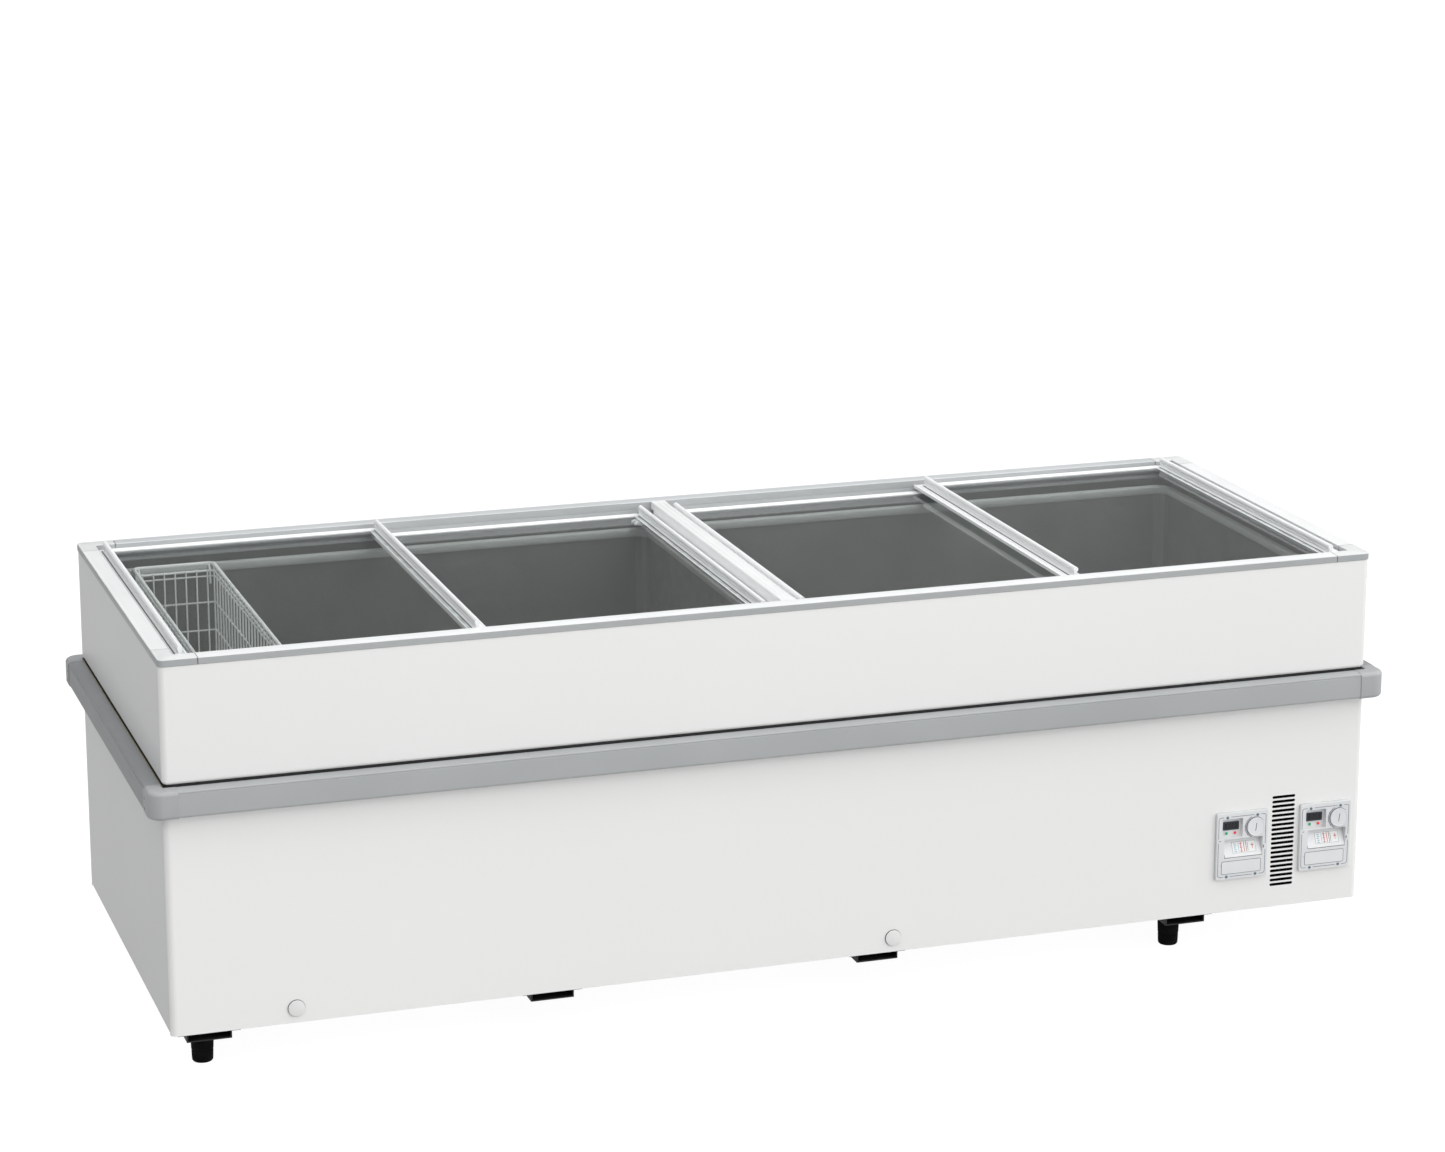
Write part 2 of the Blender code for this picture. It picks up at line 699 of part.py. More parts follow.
def make_lid(name, left, right, left_fin, right_fin, track):
    top = RIM_Z - TRACK_TOP[track]
    bottom = top - FRAME_THICK
    edge = DEPTH / 2 - TRACK_IN[track]
    x0, x1 = at_x(left), at_x(right)
    inner0 = at_x(left_fin) + FIN_INNER if left_fin else x0 + SEAL_WIDTH
    inner1 = at_x(right_fin) - FIN_INNER if right_fin else x1 - SEAL_WIDTH
    inner_y = edge - FRAME_WIDTH
    origin = (x0, 0, top)
    frame = place(
        f"{name}_frame", block((x0, -edge, bottom), (x1, edge, top)), "lid_plastic", origin
    )
    window = block((inner0, -inner_y, bottom - 5 * MM), (inner1, inner_y, top + 5 * MM))
    cut(frame, place("lid_window", window, None, origin, smooth=0))
    middle = (top + bottom) / 2
    reach_y = inner_y + GLASS_BITE
    pane = GLASS_THICK / 2
    glass_low = Vector((inner0 - GLASS_BITE, -reach_y, middle - pane))
    glass_high = Vector((inner1 + GLASS_BITE, reach_y, middle + pane))
    spare = Vector((GAP, GAP, GAP))
    groove = block(glass_low - spare, glass_high + spare)
    cut(frame, place("glass_groove", groove, None, origin, smooth=0))
    place(f"{name}_glass", block(glass_low, glass_high), "lid_glass", origin, smooth=0)
    fins = bmesh.new()
    fin_y = edge - FIN_SETBACK
    for fin in (left_fin, right_fin):
        if fin:
            prism(fin_outline(at_x(fin), top), "y", -fin_y, fin_y, fins)
    join(frame, place("fins", fins, None, origin))


# ---------------------------------------------------------------- underside


def make_crossmember(index, x):
    half = CHANNEL_BOX / 2
    top = BODY_Z - GAP
    face = [
        (x - half - CHANNEL_FLANGE, top),
        (x - half, top),
        (x - half, CHANNEL_Z),
        (x + half, CHANNEL_Z),
        (x + half, top),
        (x + half + CHANNEL_FLANGE, top),
    ]
    # The flanges hang below the base, so the sheet lies on the outline's left on the way down.
    flat = CHANNEL_SHEET
    outline = [
        face[0],
        (x - half + flat, top),
        (x - half + flat, CHANNEL_Z + flat),
        (x + half - flat, CHANNEL_Z + flat),
        (x + half - flat, top),
        face[5],
        (face[5][0], top - flat),
        (x + half, top - flat),
        face[3],
        face[2],
        (x - half, top - flat),
        (face[0][0], top - flat),
    ]
    reach = DEPTH / 2 - CHANNEL_SETBACK
    obj = place(
        f"crossmember_{index}", prism(outline, "y", -reach, reach), "channel_black", smooth=0
    )
    if index in (1, 4):
        holes = bmesh.new()
        for sign in (-1, 1):
            hole = circle((x, sign * (DEPTH / 2 - FOOT_IN)), STUD_RADIUS + 0.5 * MM, 16)
            prism(hole, "z", CHANNEL_Z - 5 * MM, CHANNEL_Z + 5 * MM, holes)
        cut(obj, place("stud_holes", holes, None, smooth=0))


def make_foot(name, x, y):
    """A levelling foot on a stud. Its lowest face is the floor."""
    top = CHANNEL_Z - 0.5 * MM
    taper = (FOOT_TOP_RADIUS - FOOT_BOTTOM_RADIUS) / top

    def radius_at(z):
        return FOOT_BOTTOM_RADIUS + taper * z

    profile = [
        (0, 0),
        (FOOT_BOTTOM_RADIUS - 5 * MM, 0),
        (FOOT_BOTTOM_RADIUS - 1.5 * MM, 1.5 * MM),
        (radius_at(5 * MM), 5 * MM),
        (radius_at(26 * MM), 26 * MM),
        (radius_at(27 * MM) - 1 * MM, 27 * MM),
        (radius_at(29 * MM) - 1 * MM, 29 * MM),
        (radius_at(30 * MM), 30 * MM),
        (radius_at(top), top),
        (STUD_RADIUS, top),
        (STUD_RADIUS, CHANNEL_Z + 12 * MM),
        (0, CHANNEL_Z + 12 * MM),
    ]
    origin = (x, y, 0)
    place(name, turned(profile, origin, (0, 0, 1), 20), "foot_black", origin)


def make_underside():
    for index, x in enumerate(CHANNELS_X, 1):
        make_crossmember(index, at_x(x))
    for name, signs in corners():
        x = at_x(CHANNELS_X[0] if signs[0] < 0 else CHANNELS_X[-1])
        make_foot(f"foot_{name}", x, signs[1] * (DEPTH / 2 - FOOT_IN))


# ---------------------------------------------------------------- front fittings


def make_control(name, left):
    """A moulded bezel with a sunken display, a dial, and a sunken sloping floor for a thermometer."""
    face = -DEPTH / 2
    x0 = at_x(left)
    x1 = x0 + PANEL_WIDTH
    z0 = PANEL_Z
    z1 = PANEL_Z + PANEL_HEIGHT
    back = face - GAP
    front = back - PANEL_PROUD
    plate = rounded_rectangle(x0, x1, z0, z1, 4 * MM)
    bezel = place(f"{name}_control_bezel", prism(plate, "y", front, back), "control_plastic")
    box = block(
        (x0 + 9 * MM, back - 1 * MM, z0 + 11 * MM), (x1 - 9 * MM, face + 38 * MM, z1 - 11 * MM)
    )
    join(bezel, place("bezel_box", box, None, smooth=0))
    pocket = rounded_rectangle(
        x0 + DISPLAY_X[0], x0 + DISPLAY_X[1], z1 - DISPLAY_Z[1], z1 - DISPLAY_Z[0], 2 * MM, 2
    )
    sunken = prism(pocket, "y", front - 5 * MM, front + DISPLAY_SUNK)
    cut(bezel, place("display_pocket", sunken, None, smooth=0))
    slope = [
        (front - 5 * MM, z1 - WINDOW_Z[0]),
        (front + WINDOW_SUNK, z1 - WINDOW_Z[0]),
        (front + 1 * MM, z1 - WINDOW_Z[1]),
        (front - 5 * MM, z1 - WINDOW_Z[1]),
    ]
    window = prism(slope, "x", x0 + WINDOW_X[0], x0 + WINDOW_X[1])
    cut(bezel, place("thermometer_pocket", window, None, smooth=0))
    centre = (x0 + DIAL_FROM_LEFT, z1 - DIAL_FROM_TOP)
    bore = prism(circle(centre, 4.5 * MM, 16), "y", front - 10 * MM, face + 20 * MM)
    cut(bezel, place("spindle_bore", bore, None, smooth=0))

    seat = front - GAP
    origin = (centre[0], seat, centre[1])
    profile = [
        (0, -18 * MM),
        (4 * MM, -18 * MM),
        (4 * MM, 0),
        (DIAL_RADIUS, 0),
        (DIAL_RADIUS, DIAL_DEEP - 1.5 * MM),
        (DIAL_RADIUS - 1.5 * MM, DIAL_DEEP),
        (0, DIAL_DEEP),
    ]
    disc = turned(profile, origin, (0, -1, 0), 32)
    dial = place(f"{name}_thermostat_dial", disc, "dial_plastic", origin)
    half_slot = 0.8 * MM
    reach = DIAL_RADIUS * 0.55
    outline = rectangle(
        centre[0] - half_slot, centre[0] + half_slot, centre[1] - reach, centre[1] + reach
    )
    slot = prism(outline, "y", seat - DIAL_DEEP - 2 * MM, seat - DIAL_DEEP + 2 * MM)
    cut(dial, place("coin_slot", slot, None, origin, smooth=0))


def make_plug(name, from_left):
    face = -DEPTH / 2
    origin = (at_x(from_left), face, PLUG_Z)
    profile = [
        (0, -26 * MM),
        (PLUG_STEM - 1.5 * MM, -26 * MM),
        (PLUG_STEM, -23 * MM),
        (PLUG_STEM, GAP),
        (PLUG_RADIUS, GAP),
        (PLUG_RADIUS, 2.5 * MM),
        (PLUG_RADIUS - 1.5 * MM, 4 * MM),
        (0, 4 * MM),
    ]
    place(f"{name}_drain_plug", turned(profile, origin, (0, -1, 0), 24), "plug_plastic", origin)


def make_basket():
    """The basket's outer shape as an open tray, with a rim whose ends sit over the liner's ledge."""
    x0, x1 = at_x(BASKET_X[0]), at_x(BASKET_X[1])
    wall = 3 * MM
    bar = 6.5 * MM
    end = DEPTH / 2 - TUB_SIDE - 8 * MM
    hook = DEPTH / 2 - BASKET_END
    origin = (x0, 0, BASKET_TOP_Z)
    body = block((x0, -end, BASKET_FLOOR_Z), (x1, end, BASKET_TOP_Z))
    basket = place("wire_basket", body, "basket_wire", origin, smooth=0)
    rim = block((x0, -hook, BASKET_TOP_Z - bar), (x1, hook, BASKET_TOP_Z))
    join(basket, place("basket_rim", rim, None, origin, smooth=0))
    hollow = block(
        (x0 + wall, -end + wall, BASKET_FLOOR_Z + wall),
        (x1 - wall, end - wall, BASKET_TOP_Z + 10 * MM),
    )
    cut(basket, place("basket_hollow", hollow, None, origin, smooth=0))


# ---------------------------------------------------------------- machine bay


def make_compressor(name, from_left):
    """A welded steel pot on a plate with four rubber-mounted corners."""
    x, y = at_x(from_left), at_y(COMPRESSOR_Y)
    base = BODY_Z + 2 * MM + GAP
    pot = 78 * MM
    profile = [(0, base + 10 * MM)]
    profile += [(pot * math.sin(math.radians(a)), base + 40 * MM - 30 * MM * math.cos(math.radians(a)))
                for a in (35, 65, 90)]
    profile += [(pot, base + 120 * MM)]
    profile += [(pot * math.cos(math.radians(a)), base + 120 * MM + 60 * MM * math.sin(math.radians(a)))
                for a in (30, 55, 75)]
    profile += [(0, base + 180 * MM)]
    profile = [(radius, z) for radius, z in profile]
    compressor = place(f"{name}_compressor", turned(profile, (x, y, 0), (0, 0, 1), 20), "compressor_black")
    plate = rounded_rectangle(x - 95 * MM, x + 95 * MM, y - 60 * MM, y + 60 * MM, 12 * MM)
    join(compressor, place("plate", prism(plate, "z", base + 12 * MM, base + 18 * MM), None, smooth=0))
    mounts = bmesh.new()
    for sx in (-1, 1):
        for sy in (-1, 1):
            ring = circle((x + sx * 80 * MM, y + sy * 45 * MM), 11 * MM, 10)
            prism(ring, "z", base, base + 24 * MM, mounts)
    join(compressor, place("rubber_mounts", mounts, None, smooth=0))


def make_condenser():
    """A block of upright fins on a common back."""
    x0, x1 = at_x(FAN_X) - 130 * MM, at_x(FAN_X) + 130 * MM
    y0, y1 = at_y(330 * MM), at_y(380 * MM)
    fins = 26
    pitch = (x1 - x0) / fins
    outline = [(x1, y1), (x0, y1)]
    for i in range(fins):
        left = x0 + i * pitch
        outline += [(left, y0), (left + pitch * 0.4, y0)]
        if i < fins - 1:
            outline += [(left + pitch * 0.4, y1 - 8 * MM), (left + pitch, y1 - 8 * MM)]
    outline[-1] = (x1, y0)
    base = BODY_Z + 2 * MM + GAP
    place("condenser", prism(outline, "z", base, FAN_Z + 110 * MM), "condenser_fins", smooth=0)


def make_fan():
    x = at_x(FAN_X)
    plate_y = at_y(386 * MM)
    hub_y = at_y(402 * MM)
    motor_y = at_y(446 * MM)
    base = BODY_Z + 2 * MM + GAP
    half = 115 * MM
    plate = block((x - half, plate_y, base), (x + half, plate_y + 6 * MM, FAN_Z + 115 * MM))
    shroud = place("fan_shroud", plate, "fan_plastic")
    hole = prism(circle((x, FAN_Z), FAN_RADIUS + 5 * MM, 28), "y", plate_y - 0.02, plate_y + 0.02)
    cut(shroud, place("fan_hole", hole, None, smooth=0))
    posts = bmesh.new()
    post = 4 * MM
    post_at = 106 * MM
    for sign in (-1, 1):
        middle = x + sign * post_at
        low = (middle - post, plate_y + 3 * MM, FAN_Z - post)
        block(low, (middle + post, motor_y + 16 * MM, FAN_Z + post), posts)
    join(shroud, place("posts", posts, None, smooth=0))
    arm = block(
        (x - post_at - post / 2, motor_y + 8 * MM, FAN_Z - 3 * MM),
        (x + post_at + post / 2, motor_y + 14 * MM, FAN_Z + 3 * MM),
    )
    join(shroud, place("arm", arm, None, smooth=0))
    shaft = 4 * MM
    motor = [
        (0, -26 * MM),
        (shaft, -26 * MM),
        (shaft, 0),
        (30 * MM, 0),
        (34 * MM, 4 * MM),
        (34 * MM, 40 * MM),
        (0, 44 * MM),
    ]
    motor_body = turned(motor, (x, motor_y, FAN_Z), (0, 1, 0), 20)
    join(shroud, place("motor", motor_body, None, smooth=0))

    origin = (x, hub_y, FAN_Z)
    hub_radius = 28 * MM
    hub_deep = 34 * MM
    hub = [
        (0, 0),
        (hub_radius - 4 * MM, 0),
        (hub_radius, 4 * MM),
        (hub_radius, hub_deep),
        (shaft + GAP, hub_deep),
        (shaft + GAP, 14 * MM),
        (0, 14 * MM),
    ]
    rotor = place("fan_rotor", turned(hub, origin, (0, 1, 0), 20), "fan_plastic", origin)
    blades = bmesh.new()
    blade_count = 5
    for i in range(blade_count):
        blade = block((15 * MM, -1.2 * MM, -24 * MM), (FAN_RADIUS - 3 * MM, 1.2 * MM, 24 * MM))
        pitch = Matrix.Rotation(math.radians(62), 4, "X")
        spin = Matrix.Rotation(math.tau * i / blade_count, 4, "Y")
        shift = Matrix.Translation(Vector(origin) + Vector((0, 18 * MM, 0)))
        bmesh.ops.transform(blade, matrix=shift @ spin @ pitch, verts=blade.verts[:])
        scrap = bpy.data.meshes.new("blade")
        blade.to_mesh(scrap)
        blade.free()
        blades.from_mesh(scrap)
        bpy.data.meshes.remove(scrap)
    join(rotor, place("blades", blades, None, origin, smooth=0))


def make_inlet():
    x = at_x(INLET_X)
    face = DEPTH / 2
    flange = rounded_rectangle(x - 30 * MM, x + 30 * MM, INLET_Z - 20 * MM, INLET_Z + 20 * MM, 4 * MM)
    inlet = place("power_inlet", prism(flange, "y", face + GAP, face + 4 * MM), "fan_plastic")
    body = block(
        (x - 24 * MM, face - 28 * MM, INLET_Z - 14 * MM), (x + 24 * MM, face + 2 * MM, INLET_Z + 14 * MM)
    )
    join(inlet, place("inlet_body", body, None, smooth=0))
    socket = rounded_rectangle(x - 14 * MM, x + 14 * MM, INLET_Z - 10 * MM, INLET_Z + 10 * MM, 3 * MM)
    cut(inlet, place("socket", prism(socket, "y", face - 16 * MM, face + 8 * MM), None, smooth=0))


def main():
    for obj in list(bpy.data.objects):
        bpy.data.objects.remove(obj)
    make_panels()
    make_foam()
    for side in ("left", "right"):
        make_liner(side)
    make_evaporator("left", 230 * MM, 740 * MM, 6)
    make_evaporator("right", 420 * MM, 740 * MM, 4)
    make_rim()
    make_crossbar()
    make_bumper()
    for name, (left, right, left_fin, right_fin, track) in LIDS.items():
        make_lid(name, left, right, left_fin, right_fin, track)
    make_underside()
    for name, left in zip(("left", "right"), PANELS_X):
        make_control(name, left)
    for name, from_left in zip(("left", "right"), PLUGS_X):
        make_plug(name, from_left)
    make_basket()
    for name, from_left in zip(("left", "right"), COMPRESSORS_X):
        make_compressor(name, from_left)
    make_condenser()
    make_fan()
    make_inlet()


main()
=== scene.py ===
"""Looks for the island chest freezer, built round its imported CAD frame."""

import math

import bmesh
import bpy
from mathutils import Matrix, Vector


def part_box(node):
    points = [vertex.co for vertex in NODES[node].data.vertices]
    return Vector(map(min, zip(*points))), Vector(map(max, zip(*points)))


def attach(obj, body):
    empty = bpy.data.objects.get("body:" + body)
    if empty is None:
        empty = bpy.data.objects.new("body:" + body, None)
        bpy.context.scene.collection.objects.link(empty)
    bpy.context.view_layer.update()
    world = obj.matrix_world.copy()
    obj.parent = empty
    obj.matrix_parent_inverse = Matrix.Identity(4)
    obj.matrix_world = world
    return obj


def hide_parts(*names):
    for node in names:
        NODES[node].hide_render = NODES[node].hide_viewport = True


MM = 0.001

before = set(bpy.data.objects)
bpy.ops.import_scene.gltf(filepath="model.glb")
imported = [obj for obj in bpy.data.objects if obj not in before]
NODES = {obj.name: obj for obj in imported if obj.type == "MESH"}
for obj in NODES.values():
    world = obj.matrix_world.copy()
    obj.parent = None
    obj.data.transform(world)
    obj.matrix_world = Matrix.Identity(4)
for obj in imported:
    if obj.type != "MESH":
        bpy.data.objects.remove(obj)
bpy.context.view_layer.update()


def mm(*points):
    """Points written in millimetres, in metres."""
    return [tuple(value * MM for value in point) for point in points]


# ---- materials


class Shader:
    """A node material on one Principled shader, with object coordinates to pattern it."""

    def __init__(self, name, color, roughness, metallic=0.0):
        self.mat = bpy.data.materials.new(name)
        self.mat.use_nodes = True
        self.nodes = self.mat.node_tree.nodes
        self.links = self.mat.node_tree.links
        self.base = self.nodes["Principled BSDF"]
        self.out = self.nodes["Material Output"]
        self.color = (*color, 1.0)
        self.base.inputs["Base Color"].default_value = self.color
        self.base.inputs["Roughness"].default_value = roughness
        self.base.inputs["Metallic"].default_value = metallic
        self.coords = self.add("ShaderNodeTexCoord").outputs["Object"]

    def add(self, kind, **settings):
        node = self.nodes.new(kind)
        for key, value in settings.items():
            setattr(node, key, value)
        return node

    def stretched(self, scale):
        mapping = self.add("ShaderNodeMapping")
        mapping.inputs["Scale"].default_value = scale
        self.links.new(self.coords, mapping.inputs["Vector"])
        return mapping.outputs["Vector"]

    def noise(self, scale, detail=3.0, stretch=(1, 1, 1)):
        node = self.add("ShaderNodeTexNoise")
        node.inputs["Scale"].default_value = scale
        node.inputs["Detail"].default_value = detail
        self.links.new(self.stretched(stretch), node.inputs["Vector"])
        return node.outputs["Fac"]

    def cells(self, scale):
        node = self.add("ShaderNodeTexVoronoi")
        node.inputs["Scale"].default_value = scale
        self.links.new(self.stretched((1, 1, 1)), node.inputs["Vector"])
        return node

    def spread(self, value, low, high, start=0.3, end=0.7):
        node = self.add("ShaderNodeMapRange")
        node.inputs["From Min"].default_value = start
        node.inputs["From Max"].default_value = end
        node.inputs["To Min"].default_value = low
        node.inputs["To Max"].default_value = high
        self.links.new(value, node.inputs["Value"])
        return node.outputs["Result"]

    def vary_roughness(self, value, low, high, start=0.3, end=0.7):
        self.links.new(self.spread(value, low, high, start, end), self.base.inputs["Roughness"])

    def vary_color(self, value, other, start=0.3, end=0.7):
        mix = self.add("ShaderNodeMix", data_type="RGBA")
        mix.inputs["A"].default_value = self.color
        mix.inputs["B"].default_value = (*other, 1.0)
        self.links.new(self.spread(value, 0, 1, start, end), mix.inputs["Factor"])
        self.links.new(mix.outputs["Result"], self.base.inputs["Base Color"])

    def bump(self, value, depth, strength):
        node = self.add("ShaderNodeBump")
        node.inputs["Strength"].default_value = strength
        node.inputs["Distance"].default_value = depth
        self.links.new(value, node.inputs["Height"])
        self.links.new(node.outputs["Normal"], self.base.inputs["Normal"])


def enamel(name, color, roughness=0.3):
    shader = Shader(name, color, roughness)
    shader.vary_color(shader.noise(0.9, 2), tuple(c * 0.985 for c in color))
    shader.vary_roughness(shader.noise(3, 2), roughness - 0.02, roughness + 0.03)
    shader.bump(shader.noise(420, 2), 0.00012, 0.35)
    shader.base.inputs["Coat Weight"].default_value = 0.15
    shader.base.inputs["Coat Roughness"].default_value = 0.12
    return shader.mat


def moulded(name, color, roughness=0.42, grain=1500, depth=0.00006):
    shader = Shader(name, color, roughness)
    shader.vary_color(shader.noise(9, 3), tuple(c * 0.93 for c in color))
    shader.vary_roughness(shader.noise(60, 3), roughness - 0.06, roughness + 0.08)
    shader.bump(shader.noise(grain, 2), depth, 0.6)
    return shader.mat


def extruded(name, color, along, roughness=0.36, metallic=0.0):
    """Drawn or extruded stock, with faint die lines along its length."""
    shader = Shader(name, color, roughness, metallic)
    stretch = tuple(0.01 if axis == along else 1 for axis in "xyz")
    lines = shader.noise(900, 2, stretch)
    shader.vary_color(shader.noise(5, 3), tuple(c * 0.94 for c in color))
    shader.vary_roughness(lines, roughness - 0.06, roughness + 0.1)
    shader.bump(lines, 0.00005, 0.6)
    return shader.mat


def embossed(name, color):
    """Sheet with a fine hammered pattern and a dull metal gloss."""
    shader = Shader(name, color, 0.38, 0.65)
    dimples = shader.cells(170).outputs["Distance"]
    shader.vary_color(shader.noise(4, 4), tuple(c * 0.82 for c in color))
    shader.vary_roughness(shader.noise(30, 3), 0.32, 0.5)
    shader.bump(dimples, 0.0004, 0.5)
    return shader.mat


def zinc(name, color):
    shader = Shader(name, color, 0.4, 0.9)
    spangle = shader.cells(55)
    shader.vary_color(spangle.outputs["Color"], tuple(c * 0.7 for c in color), 0, 1)
    shader.vary_roughness(spangle.outputs["Distance"], 0.3, 0.55, 0, 1)
    shader.bump(shader.noise(300, 3), 0.00008, 0.4)
    return shader.mat


def rubbery(name, color, roughness=0.6):
    shader = Shader(name, color, roughness)
    shader.vary_color(shader.noise(35, 4), tuple(min(c * 1.9 + 0.004, 1) for c in color))
    shader.vary_roughness(shader.noise(120, 4), roughness - 0.1, roughness + 0.15)
    shader.bump(shader.noise(1400, 3), 0.00012, 0.7)
    return shader.mat


def foamed(name, color):
    shader = Shader(name, color, 0.95)
    shader.vary_color(shader.noise(25, 5), tuple(c * 0.75 for c in color))
    shader.bump(shader.cells(700).outputs["Distance"], 0.0006, 0.8)
    return shader.mat


def clear_glass(name, tint):
    """A thin flat pane: it lets lamps through, and mirrors more at a glance."""
    shader = Shader(name, tint, 0.0)
    shader.base.inputs["Transmission Weight"].default_value = 1.0
    shader.base.inputs["IOR"].default_value = 1.33
    shader.vary_roughness(shader.noise(6, 3), 0.0, 0.025)
    open_to_lamps = shader.add("ShaderNodeBsdfTransparent")
    open_to_lamps.inputs["Color"].default_value = (0.93, 0.96, 0.95, 1)
    path = shader.add("ShaderNodeLightPath")
    mix = shader.add("ShaderNodeMixShader")
    shader.links.new(path.outputs["Is Shadow Ray"], mix.inputs["Fac"])
    shader.links.new(shader.base.outputs["BSDF"], mix.inputs[1])
    shader.links.new(open_to_lamps.outputs["BSDF"], mix.inputs[2])
    shader.links.new(mix.outputs["Shader"], shader.out.inputs["Surface"])
    return shader.mat


def lamp(name, color, strength):
    shader = Shader(name, color, 0.25)
    shader.base.inputs["Emission Color"].default_value = (*color, 1)
    shader.base.inputs["Emission Strength"].default_value = strength
    shader.vary_roughness(shader.noise(200, 2), 0.2, 0.3)
    return shader.mat


GREY = (0.42, 0.435, 0.44)
PALE = (0.90, 0.91, 0.915)

FRONT_PAINT = enamel("front_enamel", (0.86, 0.86, 0.85))
# The side panels' enamel is a darker copy of the front's: painted shade on the sides.
SHADED_SIDE_PAINT = enamel("side_enamel_shaded", (0.72, 0.73, 0.73), 0.34)
RIM_X = extruded("rim_grey_x", GREY, "x")
RIM_Y = extruded("rim_grey_y", GREY, "y")
RIM_CAP = moulded("rim_cap_grey", (0.40, 0.42, 0.43))
BUMPER_X = extruded("bumper_grey_x", GREY, "x", 0.42)
# The side rails' grey is darker than the front and rear rails': painted shade on the sides.
SHADED_BUMPER_Y = extruded("bumper_shaded_grey_y", (0.31, 0.32, 0.33), "y", 0.42)
BUMPER_CAP = moulded("bumper_cap_grey", (0.40, 0.41, 0.42))
LID_PLASTIC = extruded("lid_pale", PALE, "y", 0.28)
GLASS = clear_glass("lid_glass_clear", (0.96, 0.98, 0.975))
LINER = embossed("liner_embossed", (0.36, 0.37, 0.36))
LEDGE_TRIM = moulded("ledge_pale", (0.48, 0.50, 0.49), 0.35)
FOAM = foamed("foam_yellow", (0.80, 0.70, 0.45))
COPPER = extruded("copper_tube", (0.72, 0.36, 0.22), "z", 0.3, 0.95)
ZINC = zinc("zinc_sheet", (0.56, 0.58, 0.60))
RIM_TOP_X = extruded("rim_pale_x", (0.74, 0.76, 0.76), "x")
RIM_TOP_Y = extruded("rim_pale_y", (0.81, 0.82, 0.82), "y")
# The rear rail's pale top is a darker copy of the front's: painted shade towards the rear.
SHADED_RIM_TOP_REAR = extruded("rim_rear_x_shaded", (0.60, 0.62, 0.63), "x")
RIM_CAP_TOP = moulded("rim_cap_pale", (0.70, 0.71, 0.71))
BLACK_PAINT = rubbery("black_paint", (0.006, 0.006, 0.006), 0.42)
BLACK_PLASTIC = rubbery("black_plastic", (0.010, 0.010, 0.011), 0.5)
# Near-black for gaps: painted shadow in the panel gap and at the foot of each lid fin.
GAP_SHADE_BLACK = rubbery("gap_shade_black", (0.008, 0.008, 0.009), 0.7)
SEAL_GREY = rubbery("seal_grey", (0.36, 0.39, 0.39), 0.5)
CONTROL = moulded("control_grey", (0.76, 0.77, 0.78), 0.42)
DIAL = moulded("dial_pale", (0.78, 0.79, 0.81), 0.36)
PLUG = moulded("plug_white", (0.80, 0.80, 0.79), 0.45)
WIRE = moulded("wire_white", (0.94, 0.95, 0.95), 0.3, 800)
# Near-black breaker strip: painted shade on the upper tub wall under the rim.
SHADED_BREAKER = moulded("breaker_painted_shade", (0.13, 0.135, 0.13), 0.34)
JOINT_SHADOW = rubbery("joint_shadow", (0.07, 0.075, 0.08), 0.6)
INK_AND_SHADE = rubbery("ink_and_shade_dark", (0.06, 0.07, 0.11), 0.5)
FOOT_BLACK = rubbery("foot_black", (0.003, 0.003, 0.003), 0.6)
PLAQUE = moulded("plaque_pale", (0.80, 0.81, 0.82), 0.36)
PALE_WINDOW = moulded("window_pale", (0.86, 0.87, 0.87), 0.15)
SCALE_BLUE = moulded("scale_blue", (0.22, 0.42, 0.55), 0.4)
SCALE_RED = moulded("scale_red", (0.58, 0.12, 0.11), 0.4)
SCALE_BROWN = moulded("scale_brown", (0.20, 0.10, 0.08), 0.4)
SCREW_BLUE = extruded("screw_zinc_blue", (0.20, 0.27, 0.33), "y", 0.35, 0.7)
DISPLAY_FRAME = moulded("display_frame", (0.022, 0.026, 0.036), 0.35)
DISPLAY = moulded("display_smoked", (0.012, 0.014, 0.02), 0.12)
SEGMENT = lamp("display_segment", (0.05, 0.035, 0.035), 0.05)
GREEN_LED = lamp("lamp_green", (0.02, 0.30, 0.14), 0.35)
RED_LED = lamp("lamp_red", (0.65, 0.03, 0.03), 0.35)
# Matte near-black behind and round the grille slots: painted shade.
SLOT_SHADE_BLACK = rubbery("slot_shade_black", (0.004, 0.004, 0.004), 0.85)
for dull in (FOOT_BLACK, SLOT_SHADE_BLACK):
    dull.node_tree.nodes["Principled BSDF"].inputs["Specular IOR Level"].default_value = 0.04
FIN_METAL = extruded("condenser_aluminium", (0.68, 0.69, 0.70), "z", 0.32, 0.9)

# The first entry found in a CAD node's name gives its material.
NODE_MATERIALS = (
    ("base_pan", ZINC),
    ("bumper_corner", BUMPER_CAP),
    ("bumper_front", BUMPER_X),
    ("bumper_rear", BUMPER_X),
    ("bumper", SHADED_BUMPER_Y),
    ("centre_crossbar", RIM_Y),
    ("compressor", BLACK_PAINT),
    ("condenser", FIN_METAL),
    ("control_bezel", CONTROL),
    ("crossmember", BLACK_PAINT),
    ("drain_plug", PLUG),
    ("evaporator", COPPER),
    ("fan_", BLACK_PLASTIC),
    ("foot_", BLACK_PLASTIC),
    ("_frame", LID_PLASTIC),
    ("_glass", GLASS),
    ("insulation_foam", FOAM),
    ("_left_panel", SHADED_SIDE_PAINT),
    ("_right_panel", SHADED_SIDE_PAINT),
    ("_panel", FRONT_PAINT),
    ("_liner", LINER),
    ("power_inlet", BLACK_PLASTIC),
    ("rim_corner", RIM_CAP),
    ("rim_rail_front", RIM_X),
    ("rim_rail_rear", RIM_X),
    ("rim_rail", RIM_Y),
    ("thermostat_dial", DIAL),
    ("wire_basket", WIRE),
)
